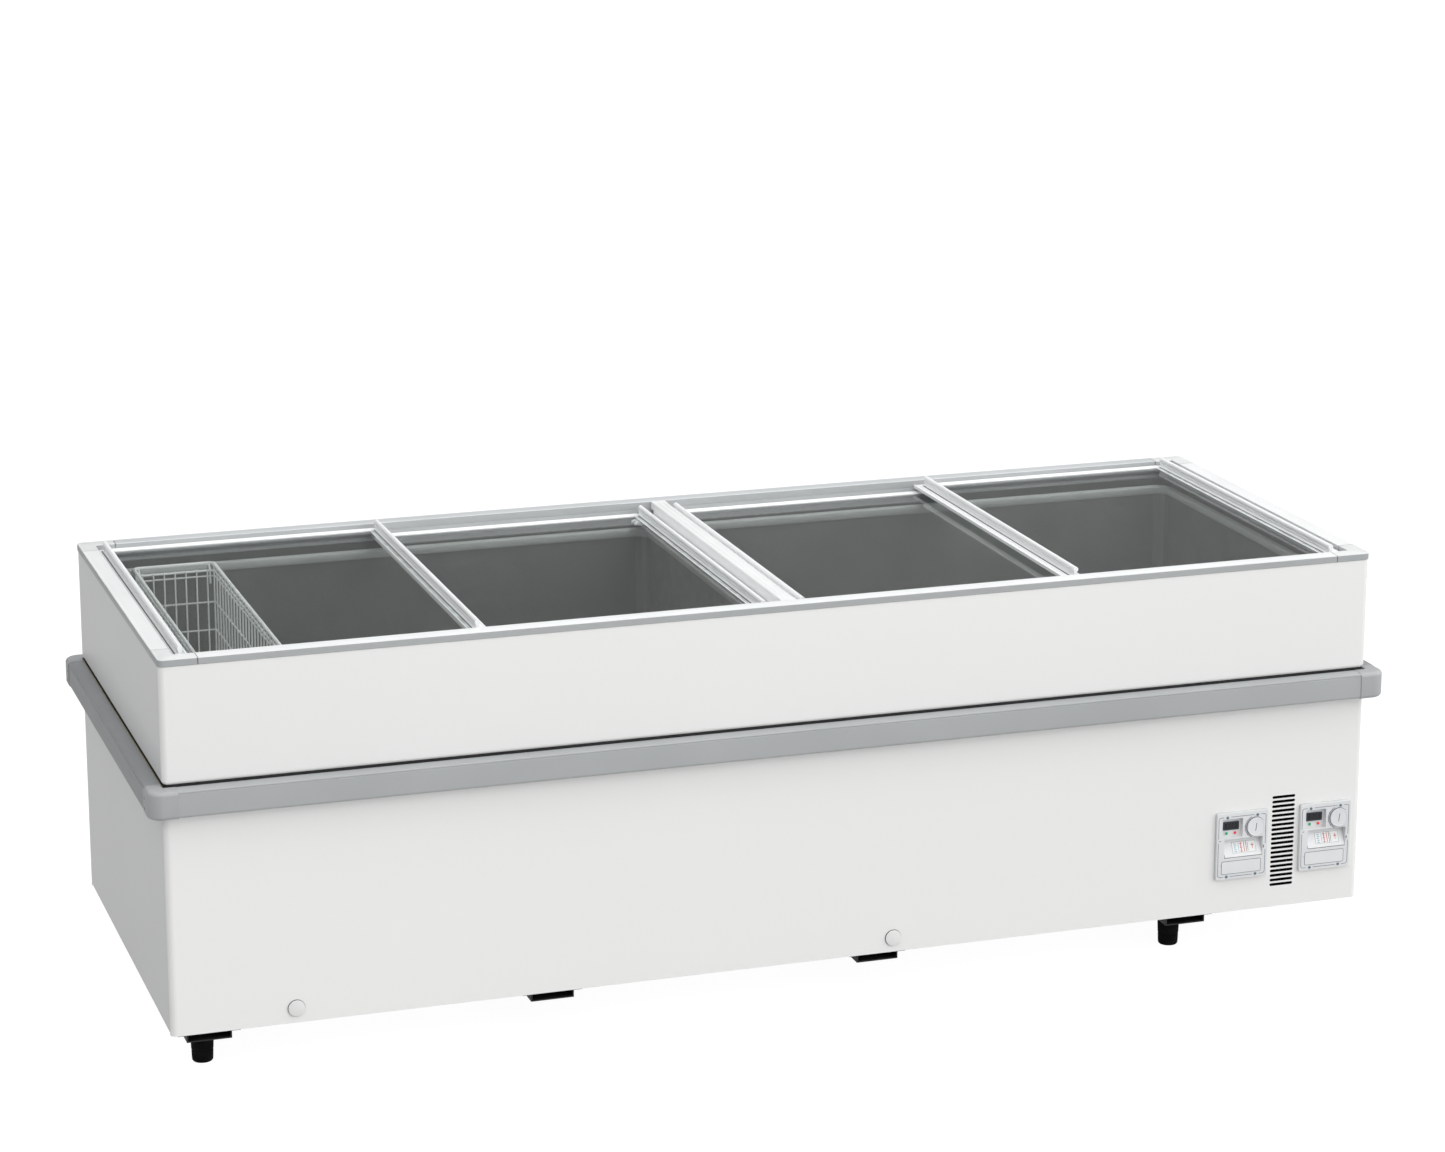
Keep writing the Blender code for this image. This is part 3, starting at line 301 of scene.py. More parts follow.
for node_name, node in NODES.items():
    node.data.materials.clear()
    node.data.materials.append(next(mat for part, mat in NODE_MATERIALS if part in node_name))


# ---- making pieces


def add_object(name, data):
    obj = bpy.data.objects.new(name, data)
    bpy.context.scene.collection.objects.link(obj)
    return obj


def piece(name, bm, mats, body="cabinet", replaces=(), bevel=0.0, smooth=32):
    """A mesh in world coordinates becomes a piece that rides on a body. mats is one material, or
    several for a mesh whose faces carry material indices."""
    bmesh.ops.recalc_face_normals(bm, faces=bm.faces[:])
    mesh = bpy.data.meshes.new(name)
    bm.to_mesh(mesh)
    bm.free()
    for mat in mats if isinstance(mats, (list, tuple)) else [mats]:
        mesh.materials.append(mat)
    mesh.shade_smooth()
    mesh.set_sharp_from_angle(angle=math.radians(smooth))
    obj = add_object(name, mesh)
    if bevel:
        modifier = obj.modifiers.new("edges", "BEVEL")
        modifier.width = bevel
        modifier.segments = 2
        modifier.limit_method = "ANGLE"
        modifier.angle_limit = math.radians(40)
    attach(obj, body)
    if replaces:
        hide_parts(*replaces)


def paint_new(bm, before, index):
    """Gives a material index to the faces added since the count before."""
    bm.faces.ensure_lookup_table()
    for face in bm.faces[before:]:
        face.material_index = index


def join_rings(bm, rings):
    """Faces between each ring of vertices and the next."""
    for low, high in zip(rings, rings[1:]):
        for i in range(len(low)):
            j = (i + 1) % len(low)
            bm.faces.new((low[i], low[j], high[j], high[i]))


def corner(axis, a, b, along):
    return {"x": (along, a, b), "y": (a, along, b), "z": (a, b, along)}[axis]


def prism(outline, axis, start, end, bm=None, index=0):
    """Extrudes a closed outline along an axis: (y, z) along x, (x, z) along y, (x, y) along z."""
    bm = bm or bmesh.new()
    before = len(bm.faces)
    low = [bm.verts.new(corner(axis, a, b, start)) for a, b in outline]
    high = [bm.verts.new(corner(axis, a, b, end)) for a, b in outline]
    bm.faces.new(low)
    bm.faces.new(list(reversed(high)))
    join_rings(bm, [low, high])
    paint_new(bm, before, index)
    return bm


def rectangle(a0, a1, b0, b1):
    return [(a0, b0), (a1, b0), (a1, b1), (a0, b1)]


def block(low, high, bm=None):
    return prism(rectangle(low[0], high[0], low[1], high[1]), "z", low[2], high[2], bm)


def arc(centre, radius, start, end, steps):
    points = []
    for i in range(steps + 1):
        angle = math.radians(start + (end - start) * i / steps)
        points.append((centre[0] + radius * math.cos(angle), centre[1] + radius * math.sin(angle)))
    return points


def rounded(a0, a1, b0, b1, radius, steps=6):
    return (
        arc((a0 + radius, b0 + radius), radius, 180, 270, steps)
        + arc((a1 - radius, b0 + radius), radius, 270, 360, steps)
        + arc((a1 - radius, b1 - radius), radius, 0, 90, steps)
        + arc((a0 + radius, b1 - radius), radius, 90, 180, steps)
    )


def circle(centre, radius, steps):
    return arc(centre, radius, 0, 360, steps)[:-1]


def turned(profile, centre, direction, steps, bm=None, index=0):
    """A solid of revolution from (radius, height) points, along an axis from centre."""
    bm = bm or bmesh.new()
    before = len(bm.faces)
    turn = Vector((0, 0, 1)).rotation_difference(Vector(direction)).to_matrix().to_4x4()
    place = Matrix.Translation(Vector(centre)) @ turn
    rings = []
    for radius, height in profile:
        if radius < 1e-7:
            rings.append([bm.verts.new(place @ Vector((0, 0, height)))])
            continue
        ring = [place @ Vector((x, y, height)) for x, y in circle((0, 0), radius, steps)]
        rings.append([bm.verts.new(point) for point in ring])
    for low, high in zip(rings, rings[1:]):
        for i in range(steps):
            j = (i + 1) % steps
            ring = [low[i % len(low)], low[j % len(low)], high[j % len(high)], high[i % len(high)]]
            bm.faces.new([vert for k, vert in enumerate(ring) if vert not in ring[:k]])
    paint_new(bm, before, index)
    return bm


def mitred_corner(profile, radius, leg, outer, signs, steps=16, bm=None):
    """Sweeps a (depth from the outer face, z) profile round a cabinet corner, leg to leg."""
    bm = bm or bmesh.new()

    def vert(u, v, z):
        return bm.verts.new((outer[0] - signs[0] * u, outer[1] - signs[1] * v, z))

    rings = [[vert(leg, depth, z) for depth, z in profile]]
    for step in range(steps + 1):
        angle = math.pi / 2 * step / steps
        ring = []
        for depth, z in profile:
            reach = max(radius - depth, 0)
            start = max(radius, depth)
            ring.append(vert(start - reach * math.sin(angle), start - reach * math.cos(angle), z))
        rings.append(ring)
    rings.append([vert(depth, leg, z) for depth, z in profile])
    join_rings(bm, rings)
    bm.faces.new(rings[0])
    bm.faces.new(rings[-1])
    bmesh.ops.remove_doubles(bm, verts=bm.verts[:], dist=1e-6)
    return bm


def tube(points, radius, sides, bm, closed=False):
    """A round wire along a polyline, with flat ends unless it closes on itself."""
    points = [Vector(point) for point in points]
    count = len(points)
    rings = []
    normal = None
    for i, point in enumerate(points):
        before_point = points[i - 1] if i or closed else points[0]
        after_point = points[(i + 1) % count] if i < count - 1 or closed else points[-1]
        along = (after_point - before_point).normalized()
        if normal is None:
            normal = along.orthogonal().normalized()
        normal = (normal - along * normal.dot(along)).normalized()
        side = along.cross(normal)
        ring = []
        for k in range(sides):
            angle = math.tau * k / sides
            offset = normal * math.cos(angle) + side * math.sin(angle)
            ring.append(bm.verts.new(point + offset * radius))
        rings.append(ring)
    join_rings(bm, rings + rings[:1] if closed else rings)
    if not closed:
        bm.faces.new(rings[0])
        bm.faces.new(list(reversed(rings[-1])))


def round_bends(points, radius, steps=4):
    """Softens the inner corners of a polyline."""
    points = [Vector(point) for point in points]
    soft = [points[0]]
    for before_point, point, after_point in zip(points, points[1:], points[2:]):
        a = (before_point - point).normalized() * radius
        b = (after_point - point).normalized() * radius
        for i in range(steps + 1):
            t = i / steps
            soft.append(point + a * (1 - t) ** 2 + b * t**2)
    soft.append(points[-1])
    return soft


def carve(bm, cutters, operation="DIFFERENCE"):
    """A mesh with others cut from it, or joined to it."""
    meshes = []
    for solid in [bm, *cutters]:
        bmesh.ops.recalc_face_normals(solid, faces=solid.faces[:])
        mesh = bpy.data.meshes.new("carving")
        solid.to_mesh(mesh)
        solid.free()
        meshes.append(mesh)
    body, *tools = [add_object("carving", mesh) for mesh in meshes]
    for tool in tools:
        modifier = body.modifiers.new("carve", "BOOLEAN")
        modifier.operation = operation
        modifier.object = tool
        modifier.solver = "EXACT"
    bpy.context.view_layer.update()
    shape = body.evaluated_get(bpy.context.evaluated_depsgraph_get()).to_mesh()
    result = bmesh.new()
    result.from_mesh(shape)
    for obj in (body, *tools):
        bpy.data.objects.remove(obj)
    return result


def screw(centre, direction, radius, bm):
    """A shallow domed screw head with a round sunken socket."""
    shares = ((1, 0), (1, 0.22), (0.8, 0.45), (0.42, 0.55), (0.34, 0.15), (0, 0.12))
    turned([(radius * across, radius * up) for across, up in shares], centre, direction, 16, bm)


# ---- frame measures

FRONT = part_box("lower_front_panel")[0].y
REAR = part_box("lower_rear_panel")[1].y
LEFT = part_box("lower_front_panel")[0].x
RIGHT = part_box("lower_front_panel")[1].x
RIM_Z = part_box("rim_rail_front")[1].z
CORNERS = {
    "front_left": (-1, -1),
    "front_right": (1, -1),
    "rear_left": (-1, 1),
    "rear_right": (1, 1),
}
SIDES = {"front": ("x", -1), "rear": ("x", 1), "left": ("y", -1), "right": ("y", 1)}
FRONT_GRILLE = (1.030, 1.119, 0.122, 0.342)
REAR_GRILLE = (0.828, 0.972, 0.122, 0.342)
FRONT_SLOTS = (1.049, 1.100, 0.1325)


def along_side(side, name, section, out_x, out_y):
    """A (depth, z) section drawn along one side of the cabinet, as long as the CAD node is."""
    axis, sign = SIDES[side]
    low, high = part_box(name)
    out = out_y if axis == "x" else out_x
    outline = [(sign * (out - depth), z) for depth, z in section]
    return prism(outline, axis, getattr(low, axis), getattr(high, axis))


# ---- bumper

BUMPER_LOW, BUMPER_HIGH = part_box("bumper_corner_front_left")
BUMPER_REACH = LEFT - BUMPER_LOW.x
BUMPER_LEG = BUMPER_HIGH.x - BUMPER_LOW.x


def bumper_outline():
    """A rail's section as (depth from the outermost plane, z): a rounded lip, a flat face, a fine
    groove with a bead over it, and a flat top."""
    inset = 1.5 * MM
    low = BUMPER_LOW.z + 1.5 * MM
    top = BUMPER_HIGH.z - 0.6 * MM
    back = BUMPER_REACH - 0.5 * MM
    groove = mm((0, -6.2), (0.9, -5.7), (0.9, -4.9))
    return (
        [(back, low + 3 * MM), (inset + 8 * MM, low + 0.3 * MM)]
        + arc((inset + 6 * MM, low + 6 * MM), 6 * MM, 265, 180, 6)
        + [(inset + depth, top + z) for depth, z in groove]
        + arc((inset + 2.9 * MM, top - 2.6 * MM), 2.6 * MM, 200, 80, 8)
        + [(inset + 5 * MM, top - 0.7 * MM), (inset + 9 * MM, top), (back, top)]
    )


def cap_outline():
    """A corner cap's section: as deep as the rail's, with a fuller round above and below."""
    low = BUMPER_LOW.z
    top = BUMPER_HIGH.z
    back = BUMPER_REACH - 0.5 * MM
    return (
        [(back, low + 3 * MM), (11 * MM, low)]
        + arc((8 * MM, low + 8 * MM), 8 * MM, 265, 180, 7)
        + arc((8 * MM, top - 8 * MM), 8 * MM, 180, 95, 8)
        + [(11 * MM, top), (back, top)]
    )


def make_bumper():
    out_x = RIGHT + BUMPER_REACH
    out_y = REAR + BUMPER_REACH
    for side, (axis, _) in SIDES.items():
        name = f"bumper_{side}"
        bm = along_side(side, name, bumper_outline(), out_x, out_y)
        mat = BUMPER_X if axis == "x" else SHADED_BUMPER_Y
        piece(f"{name}_rail", bm, mat, replaces=[name])
    hole = mm((0, 0), (3.8, 0), (3.8, 4), (0, 4))
    for end, signs in CORNERS.items():
        name = f"bumper_corner_{end}"
        outer = (signs[0] * out_x, signs[1] * out_y)
        screws = bmesh.new()
        holes = []
        for height in (14 * MM, 34 * MM):
            face = outer[0] - signs[0] * 2.2 * MM
            seat = (face, outer[1] - signs[1] * 46 * MM, BUMPER_LOW.z + height)
            screw(seat, (signs[0], 0, 0), 3.2 * MM, screws)
            holes.append(turned(hole, seat, (signs[0], 0, 0), 16))
        moulding = mitred_corner(cap_outline(), 29 * MM, BUMPER_LEG, outer, signs, 20)
        moulding = carve(moulding, holes)
        piece(f"{name}_cap", moulding, BUMPER_CAP, replaces=[name])
        piece(f"{name}_screws", screws, BLACK_PLASTIC)


def make_gap_shade():
    """A black strip set in the gap between the lower and the upper panels: painted shadow of the
    gap.
    """
    bm = bmesh.new()
    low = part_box("lower_front_panel")[1].z + 0.4 * MM
    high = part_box("upper_front_panel")[0].z - 0.2 * MM
    outline = rectangle(3.5 * MM, 15 * MM, low, high)
    leg = 60 * MM
    for signs in CORNERS.values():
        mitred_corner(outline, 12 * MM, leg, (signs[0] * RIGHT, signs[1] * REAR), signs, 6, bm)
    for sign in (-1, 1):
        across = [(sign * (REAR - depth), z) for depth, z in outline]
        prism(across, "x", LEFT + leg, RIGHT - leg, bm)
        along = [(sign * (RIGHT - depth), z) for depth, z in outline]
        prism(along, "y", FRONT + leg, REAR - leg, bm)
    piece("panel_gap_shade", bm, GAP_SHADE_BLACK)


# ---- upper panels

SKIN = 1.5 * MM


def skin_outline(low, high):
    """A skin's section as (depth, z): a flat sheet whose lower edge rolls inwards."""
    bend = 9 * MM
    outside = arc((bend, low + bend), bend, 262, 180, 9)
    inside = arc((bend, low + bend), bend - SKIN, 180, 262, 9)
    return outside + [(0, high), (SKIN, high)] + inside


def make_upper_panels():
    bend = 12 * MM
    steps = 12
    leg = 13.85 * MM
    for side, (axis, sign) in SIDES.items():
        name = f"upper_{side}_panel"
        low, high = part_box(name)
        outline = skin_outline(low.z - 2.6 * MM, high.z)
        if axis == "y":
            bm = along_side(side, name, outline, RIGHT, REAR)
            skin = f"upper_{side}_skin"
            piece(skin, bm, SHADED_SIDE_PAINT, replaces=[name], smooth=40)
            continue
        bm = bmesh.new()
        rings = []
        for turn in (-1, 1):
            ends = []
            for step in range(-1, steps + 1):
                angle = math.pi / 2 * max(step, 0) / steps
                ring = []
                for depth, z in outline:
                    reach = max(bend - depth, 0)
                    start = max(bend, depth)
                    u = start - reach * math.cos(angle)
                    v = leg if step < 0 else start - reach * math.sin(angle)
                    ring.append(bm.verts.new((turn * (RIGHT - u), sign * (REAR - v), z)))
                ends.append(ring)
            rings += ends if turn < 0 else ends[::-1]
        join_rings(bm, rings)
        bm.faces.new(rings[0])
        bm.faces.new(rings[-1])
        bmesh.ops.remove_doubles(bm, verts=bm.verts[:], dist=1e-6)
        piece(f"upper_{side}_skin", bm, FRONT_PAINT, replaces=[name], smooth=40)


# ---- rim


def rim_outline():
    """The rim's section as (depth from its outer face, z): a grey band outside with a thin groove
    under the pale top, and two steps inside for the lids. It is worked out in millimetres."""
    top_in, step_in, shelf_in = 34.5, 38.5, 53.5
    wall = 2.5
    outside = [(0.8, -14), (0, -13.2), (0, -3.4), (0.9, -3), (0.9, -2), (0.4, -1.6)]
    crown = arc((1.9, -1.5), 1.5, 180, 90, 4)
    top = [(6, -0.3), (7, -0.3), (8, 0), (top_in - 1.5, 0)]
    edge = arc((top_in - 1.2, -1.2), 1.2, 90, 0, 4)
    steps = [(top_in, -16.5), (step_in, -16.5), (step_in, -30), (shelf_in, -30), (shelf_in, -35)]
    under = [
        (shelf_in - wall, -35),
        (shelf_in - wall, -32.5),
        (step_in - wall, -32.5),
        (step_in - wall, -19),
        (top_in - wall, -19),
        (top_in - wall, -wall),
        (3.5, -wall),
        (2.5, -3.5),
        (2.5, -14),
    ]
    section = outside + crown + top + edge + steps + under
    return [(depth * MM, RIM_Z + z * MM) for depth, z in section]


def paint_top(bm):
    """The rim's upper faces take its second, pale material."""
    bmesh.ops.recalc_face_normals(bm, faces=bm.faces[:])
    for face in bm.faces:
        if face.calc_center_median().z > RIM_Z - 1.9 * MM:
            face.material_index = 1


def make_rim():
    low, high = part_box("rim_corner_front_left")
    out_x, out_y = -low.x, -low.y
    leg = high.x - low.x
    tops = {"front": RIM_TOP_X, "rear": SHADED_RIM_TOP_REAR, "left": RIM_TOP_Y, "right": RIM_TOP_Y}
    for side, (axis, _) in SIDES.items():
        name = f"rim_rail_{side}"
        bm = along_side(side, name, rim_outline(), out_x, out_y)
        paint_top(bm)
        mats = [RIM_X if axis == "x" else RIM_Y, tops[side]]
        piece(f"{name}_trim", bm, mats, replaces=[name])
    for end, signs in CORNERS.items():
        name = f"rim_corner_{end}"
        outer = (signs[0] * out_x, signs[1] * out_y)
        bm = mitred_corner(rim_outline(), 12 * MM, leg - 1.2 * MM, outer, signs)
        paint_top(bm)
        piece(f"{name}_cap", bm, [RIM_CAP, RIM_CAP_TOP], replaces=[name])


def make_crossbar():
    low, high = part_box("centre_crossbar")
    middle = (low.x + high.x) / 2
    crown = mm((5, -0.4), (6, -1.4), (7, -0.4), (14, -0.4), (16, -2))
    flange = mm((16, 2.5), (27, 2.5), (27, 0), (13.5, 0))
    half = [(x, high.z + z) for x, z in crown] + [(x, low.z + z) for x, z in flange]
    half.append((13.5 * MM, high.z - 4 * MM))
    outline = [(middle + x, z) for x, z in half] + [(middle - x, z) for x, z in reversed(half)]
    inner = REAR - 52.3 * MM
    bm = prism(outline, "y", -inner, inner)
    width = 15.8 * MM
    tongue = rectangle(middle - width, middle + width, high.z - 16 * MM, high.z - 0.6 * MM)
    for sign in (-1, 1):
        prism(tongue, "y", *sorted((sign * (inner - 2 * MM), sign * high.y)), bm)
    name = "centre_crossbar"
    piece("crossbar_trim", bm, RIM_TOP_Y, replaces=[name], bevel=0.4 * MM)


# ---- lids

FIN_AT = {
    "lid_1": (-1.200, -0.626),
    "lid_2": (None, -0.045),
    "lid_3": (0.035, None),
    "lid_4": (0.616, 1.185),
}
FIN_TO_PANE = 6 * MM
SEAL_WIDTH = 32 * MM
RAIL_WIDTH = 20 * MM
THICK = 6.6 * MM


def fin_section(x, base, height):
    """An upright finger pull: a flared foot, a waist and a rounded bulb."""
    flare = mm((5.6, -1.2), (5.6, 0.6), (4.6, 1.6), (3.1, 2.4), (2.7, 3.6))
    waist = mm((2.7, 6), (3.7, 6.7), (3.9, 7.5), (3.7, 8.3), (2.7, 9), (2.6, 10.6))
    bulb = arc((0, height - 5.2 * MM), 5.2 * MM, -48, 228, 18)
    right = flare + waist
    section = right + bulb + [(-across, z) for across, z in reversed(right)]
    return [(x + across, base + z) for across, z in section]


def ribbed(start, end, top, count, height, floor):
    """A strip's section with small round ribs on top."""
    pitch = (end - start) / count
    line = []
    for i in range(count):
        left = start + i * pitch
        line += [
            (left, top - height),
            (left + 0.25 * pitch, top - 0.25 * height),
            (left + 0.5 * pitch, top),
            (left + 0.75 * pitch, top - 0.25 * height),
        ]
    line.append((end, top - height))
    if start > end:
        line = line[::-1]
    low, high = min(start, end), max(start, end)
    return line + [(high, floor), (low, floor)]


def make_lid_clips(name, x, sign):
    """White blocks with guide studs, hung under each end of an inner lid's fin."""
    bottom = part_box(f"{name}_frame")[0].z
    x0, x1 = sorted((x + sign * 4.5 * MM, x - sign * 24 * MM))
    stud = mm((3.6, 0), (3.6, 4), (3, 5), (2, 5), (1.6, 4), (0, 4))
    bm = bmesh.new()
    for side in (-1, 1):
        for outer, inner in mm((386, 372), (366, 358)):
            y0, y1 = sorted((side * outer, side * inner))
            block((x0, y0, bottom - 7 * MM), (x1, y1, bottom + 0.5 * MM), bm)
        for y in (side * 382 * MM, side * 362 * MM):
            centre = (x - sign * 23.5 * MM, y, bottom - 3.8 * MM)
            turned(stud, centre, (-sign, 0, 0), 16, bm)
    piece(f"{name}_guide_clips", bm, PLUG, body=name, bevel=0.5 * MM)


def make_lid(name):
    """A lid's frame: an end rail with a ribbed seal or with a fin at each side, and a cross rail at
    the front and the rear."""
    low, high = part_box(f"{name}_frame")
    bottom = low.z
    top = bottom + THICK
    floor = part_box(f"{name}_glass")[1].z + 0.05 * MM
    edge = high.y
    reach = edge - 13 * MM
    bm = bmesh.new()
    inner = []

    def end_rail(x_out, x_in, sign, shoulder):
        line = [(x_out + sign * depth, top + z) for depth, z in shoulder]
        rail = [(x_out, bottom), *line, (x_in, line[-1][1]), (x_in, bottom)]
        prism(rail, "y", -edge, edge, bm)

    for x_out, fin, sign in zip((low.x, high.x), FIN_AT[name], (1, -1)):
        if fin is None:
            x_in = x_out + sign * SEAL_WIDTH
            end_rail(x_out, x_in, sign, mm((0, -1), (1, 0), (7, 0), (8, -1.4)))
            start, end = x_out + sign * 9 * MM, x_in - sign * 2 * MM
            seal = ribbed(start, end, top - 0.1 * MM, 5, 1.2 * MM, top - 2 * MM)
            prism(seal, "y", -edge + 4 * MM, edge - 4 * MM, bm, 1)
        else:
            x_in = fin + sign * FIN_TO_PANE
            end_rail(x_out, x_in, sign, mm((0, -0.8), (0.8, 0), (3, 0), (3.6, -1.1)))
            prism(fin_section(fin, top, 20.5 * MM), "y", -reach, reach, bm)
            # Black strips either side of the fin's foot: painted shadow.
            for side in (-1, 1):
                x0, x1 = sorted((fin + side * 5.9 * MM, fin + side * 7.1 * MM))
                shadow = rectangle(x0, x1, top - 2 * MM, top - 0.4 * MM)
                prism(shadow, "y", -reach, reach, bm, 2)
            between = edge - RAIL_WIDTH
            start, end = x_in + sign * 0.8 * MM, x_in + sign * 8 * MM
            channel = ribbed(start, end, top - 0.6 * MM, 3, 0.7 * MM, floor)
            prism(channel, "y", -between, between, bm, 1)
            start, end = end, x_in + sign * 10.5 * MM
            flange = ribbed(start, end, top - 0.1 * MM, 1, 0.6 * MM, floor)
            prism(flange, "y", -between, between, bm)
        inner.append(x_in)
    shoulder = mm((0, -0.8), (0.8, 0), (3.2, 0), (4, -1.2), (14, -1.2), (15, -0.3), (18.5, -0.3))
    line = [(depth, top + z) for depth, z in shoulder]
    rail = [(0, bottom), *line, (RAIL_WIDTH, top - 1.6 * MM), (RAIL_WIDTH, bottom)]
    for sign in (-1, 1):
        outline = [(sign * (edge - depth), z) for depth, z in rail]
        prism(outline, "x", inner[0] - 0.5 * MM, inner[1] + 0.5 * MM, bm)
    mats = [LID_PLASTIC, SEAL_GREY, GAP_SHADE_BLACK]
    frame_node = f"{name}_frame"
    piece(f"{name}_rails", bm, mats, body=name, replaces=[frame_node])


# ---- basket

BASKET_WIRE = 1.7 * MM


def make_basket():
    low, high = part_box("wire_basket")
    rim_z = high.z - 4 * MM
    hook = high.y - 4 * MM
    end = REAR - 74 * MM
    x0, x1 = low.x + 4 * MM, high.x - 4 * MM
    bm = bmesh.new()
    loop = rounded(x0, x1, -hook, hook, 12 * MM, 5)
    tube([(x, y, rim_z) for x, y in loop], 3.8 * MM, 12, bm, closed=True)
    reach = end - 2 * MM
    loop = rounded(x0 + 1 * MM, x1 - 1 * MM, -reach, reach, 10 * MM, 4)
    tube([(x, y, rim_z - 13 * MM) for x, y in loop], 2.4 * MM, 8, bm, closed=True)
    floor = low.z + BASKET_WIRE
    left, right = x0 + 2 * MM, x1 - 2 * MM
    inner_y = end - 5 * MM
    count = 27
    for i in range(count):
        y = -inner_y + 2 * inner_y * i / (count - 1)
        wire = [(left, y, rim_z), (left, y, floor), (right, y, floor), (right, y, rim_z)]
        tube(round_bends(wire, 9 * MM), BASKET_WIRE, 6, bm)
    count = 7
    lifted = floor + 2 * BASKET_WIRE
    tip = rim_z - 9 * MM
    for i in range(count):
        x = left + 14 * MM + (right - left - 28 * MM) * i / (count - 1)
        wire = [(x, -inner_y, tip), (x, -inner_y, lifted), (x, inner_y, lifted), (x, inner_y, tip)]
        tube(round_bends(wire, 9 * MM), BASKET_WIRE, 6, bm)
    out = 1.5 * MM
    ring = rounded(left - out, right + out, -inner_y - out, inner_y + out, 9 * MM, 4)
    for drop in (24 * MM, 80 * MM, 140 * MM):
        tube([(x, y, rim_z - drop) for x, y in ring], BASKET_WIRE, 6, bm, closed=True)
    for sign in (-1, 1):
        for x in (x0 + 10 * MM, x1 - 10 * MM):
            foot = (x, sign * inner_y, rim_z - 40 * MM)
            post = [(x, sign * hook, rim_z), (x, sign * reach, tip), foot]
            tube(round_bends(post, 5 * MM), 2.2 * MM, 8, bm)
    name = "wire_basket"
    piece("basket_wires", bm, WIRE, body="basket", replaces=[name], smooth=60)


# ---- controls


def ring_strip(points, width):
    """The closed outline of a thin line drawn along an open polyline."""
    left, right = [], []
    for i, point in enumerate(points):
        a = Vector(points[max(i - 1, 0)])
        b = Vector(points[min(i + 1, len(points) - 1)])
        along = (b - a).normalized()
        side = Vector((-along.y, along.x)) * width / 2
        left.append(tuple(Vector(point) + side))
        right.append(tuple(Vector(point) - side))
    return left + right[::-1]


def make_bezel(side):
    """The panel's moulding, with a pocket for the display and one that slopes back for the
    thermometer, and the seal round its edge."""
    name = f"{side}_control_bezel"
    low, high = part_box(name)
    x0, x1, z0, z1 = low.x, high.x, low.z, high.z
    front, back = low.y, low.y + 8 * MM
    before = front - 5 * MM
    plate = prism(rounded(x0, x1, z0, z1, 4 * MM), "y", front, back)
    box = block((x0 + 9 * MM, back - 1 * MM, z0 + 11 * MM), (x1 - 9 * MM, high.y, z1 - 11 * MM))
    solid = carve(plate, [box], "UNION")
    display = rounded(x0 + 12 * MM, x0 + 58 * MM, z1 - 54 * MM, z1 - 13 * MM, 2 * MM)
    head, foot = z1 - 57 * MM, z1 - 98 * MM
    slope = [(before, head), (front + 20 * MM, head), (front + 1 * MM, foot), (before, foot)]
    pockets = [
        prism(display, "y", before, front + 10 * MM),
        prism(slope, "x", x0 + 18 * MM, x0 + 104.5 * MM),
    ]
    solid = carve(solid, pockets)
    moulding = f"{side}_bezel_moulding"
    piece(moulding, solid, CONTROL, replaces=[name], bevel=0.7 * MM)
    edge = rounded(x0 + 0.5 * MM, x1 - 0.5 * MM, z0 + 0.5 * MM, z1 - 0.5 * MM, 3.6 * MM)
    joint = prism(ring_strip(edge + edge[:1], 1.8 * MM), "y", back - 1.6 * MM, back - 0.1 * MM)
    piece(f"{side}_bezel_gasket", joint, SEAL_GREY)


def make_control(side):
    """All that is fixed to a control panel. Places on its face are in millimetres, across from its
    left edge and down from its top."""
    make_bezel(side)
    low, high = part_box(f"{side}_control_bezel")
    front, left, top = low.y, low.x, high.z

    def at(across, down):
        return left + across * MM, top - down * MM

    make_control_lines(side, front, at)
    screws = bmesh.new()
    for across, down in ((23, 9), (91, 8.6), (24, 137), (89.5, 136.5)):
        x, z = at(across, down)
        screw((x, front - 0.05 * MM, z), (0, -1, 0), 3 * MM, screws)
    piece(f"{side}_control_screws", screws, SCREW_BLUE)
    make_display(side, front + 10 * MM, at)
    make_thermometer(side, front, left, top)
    make_dial(side, front)


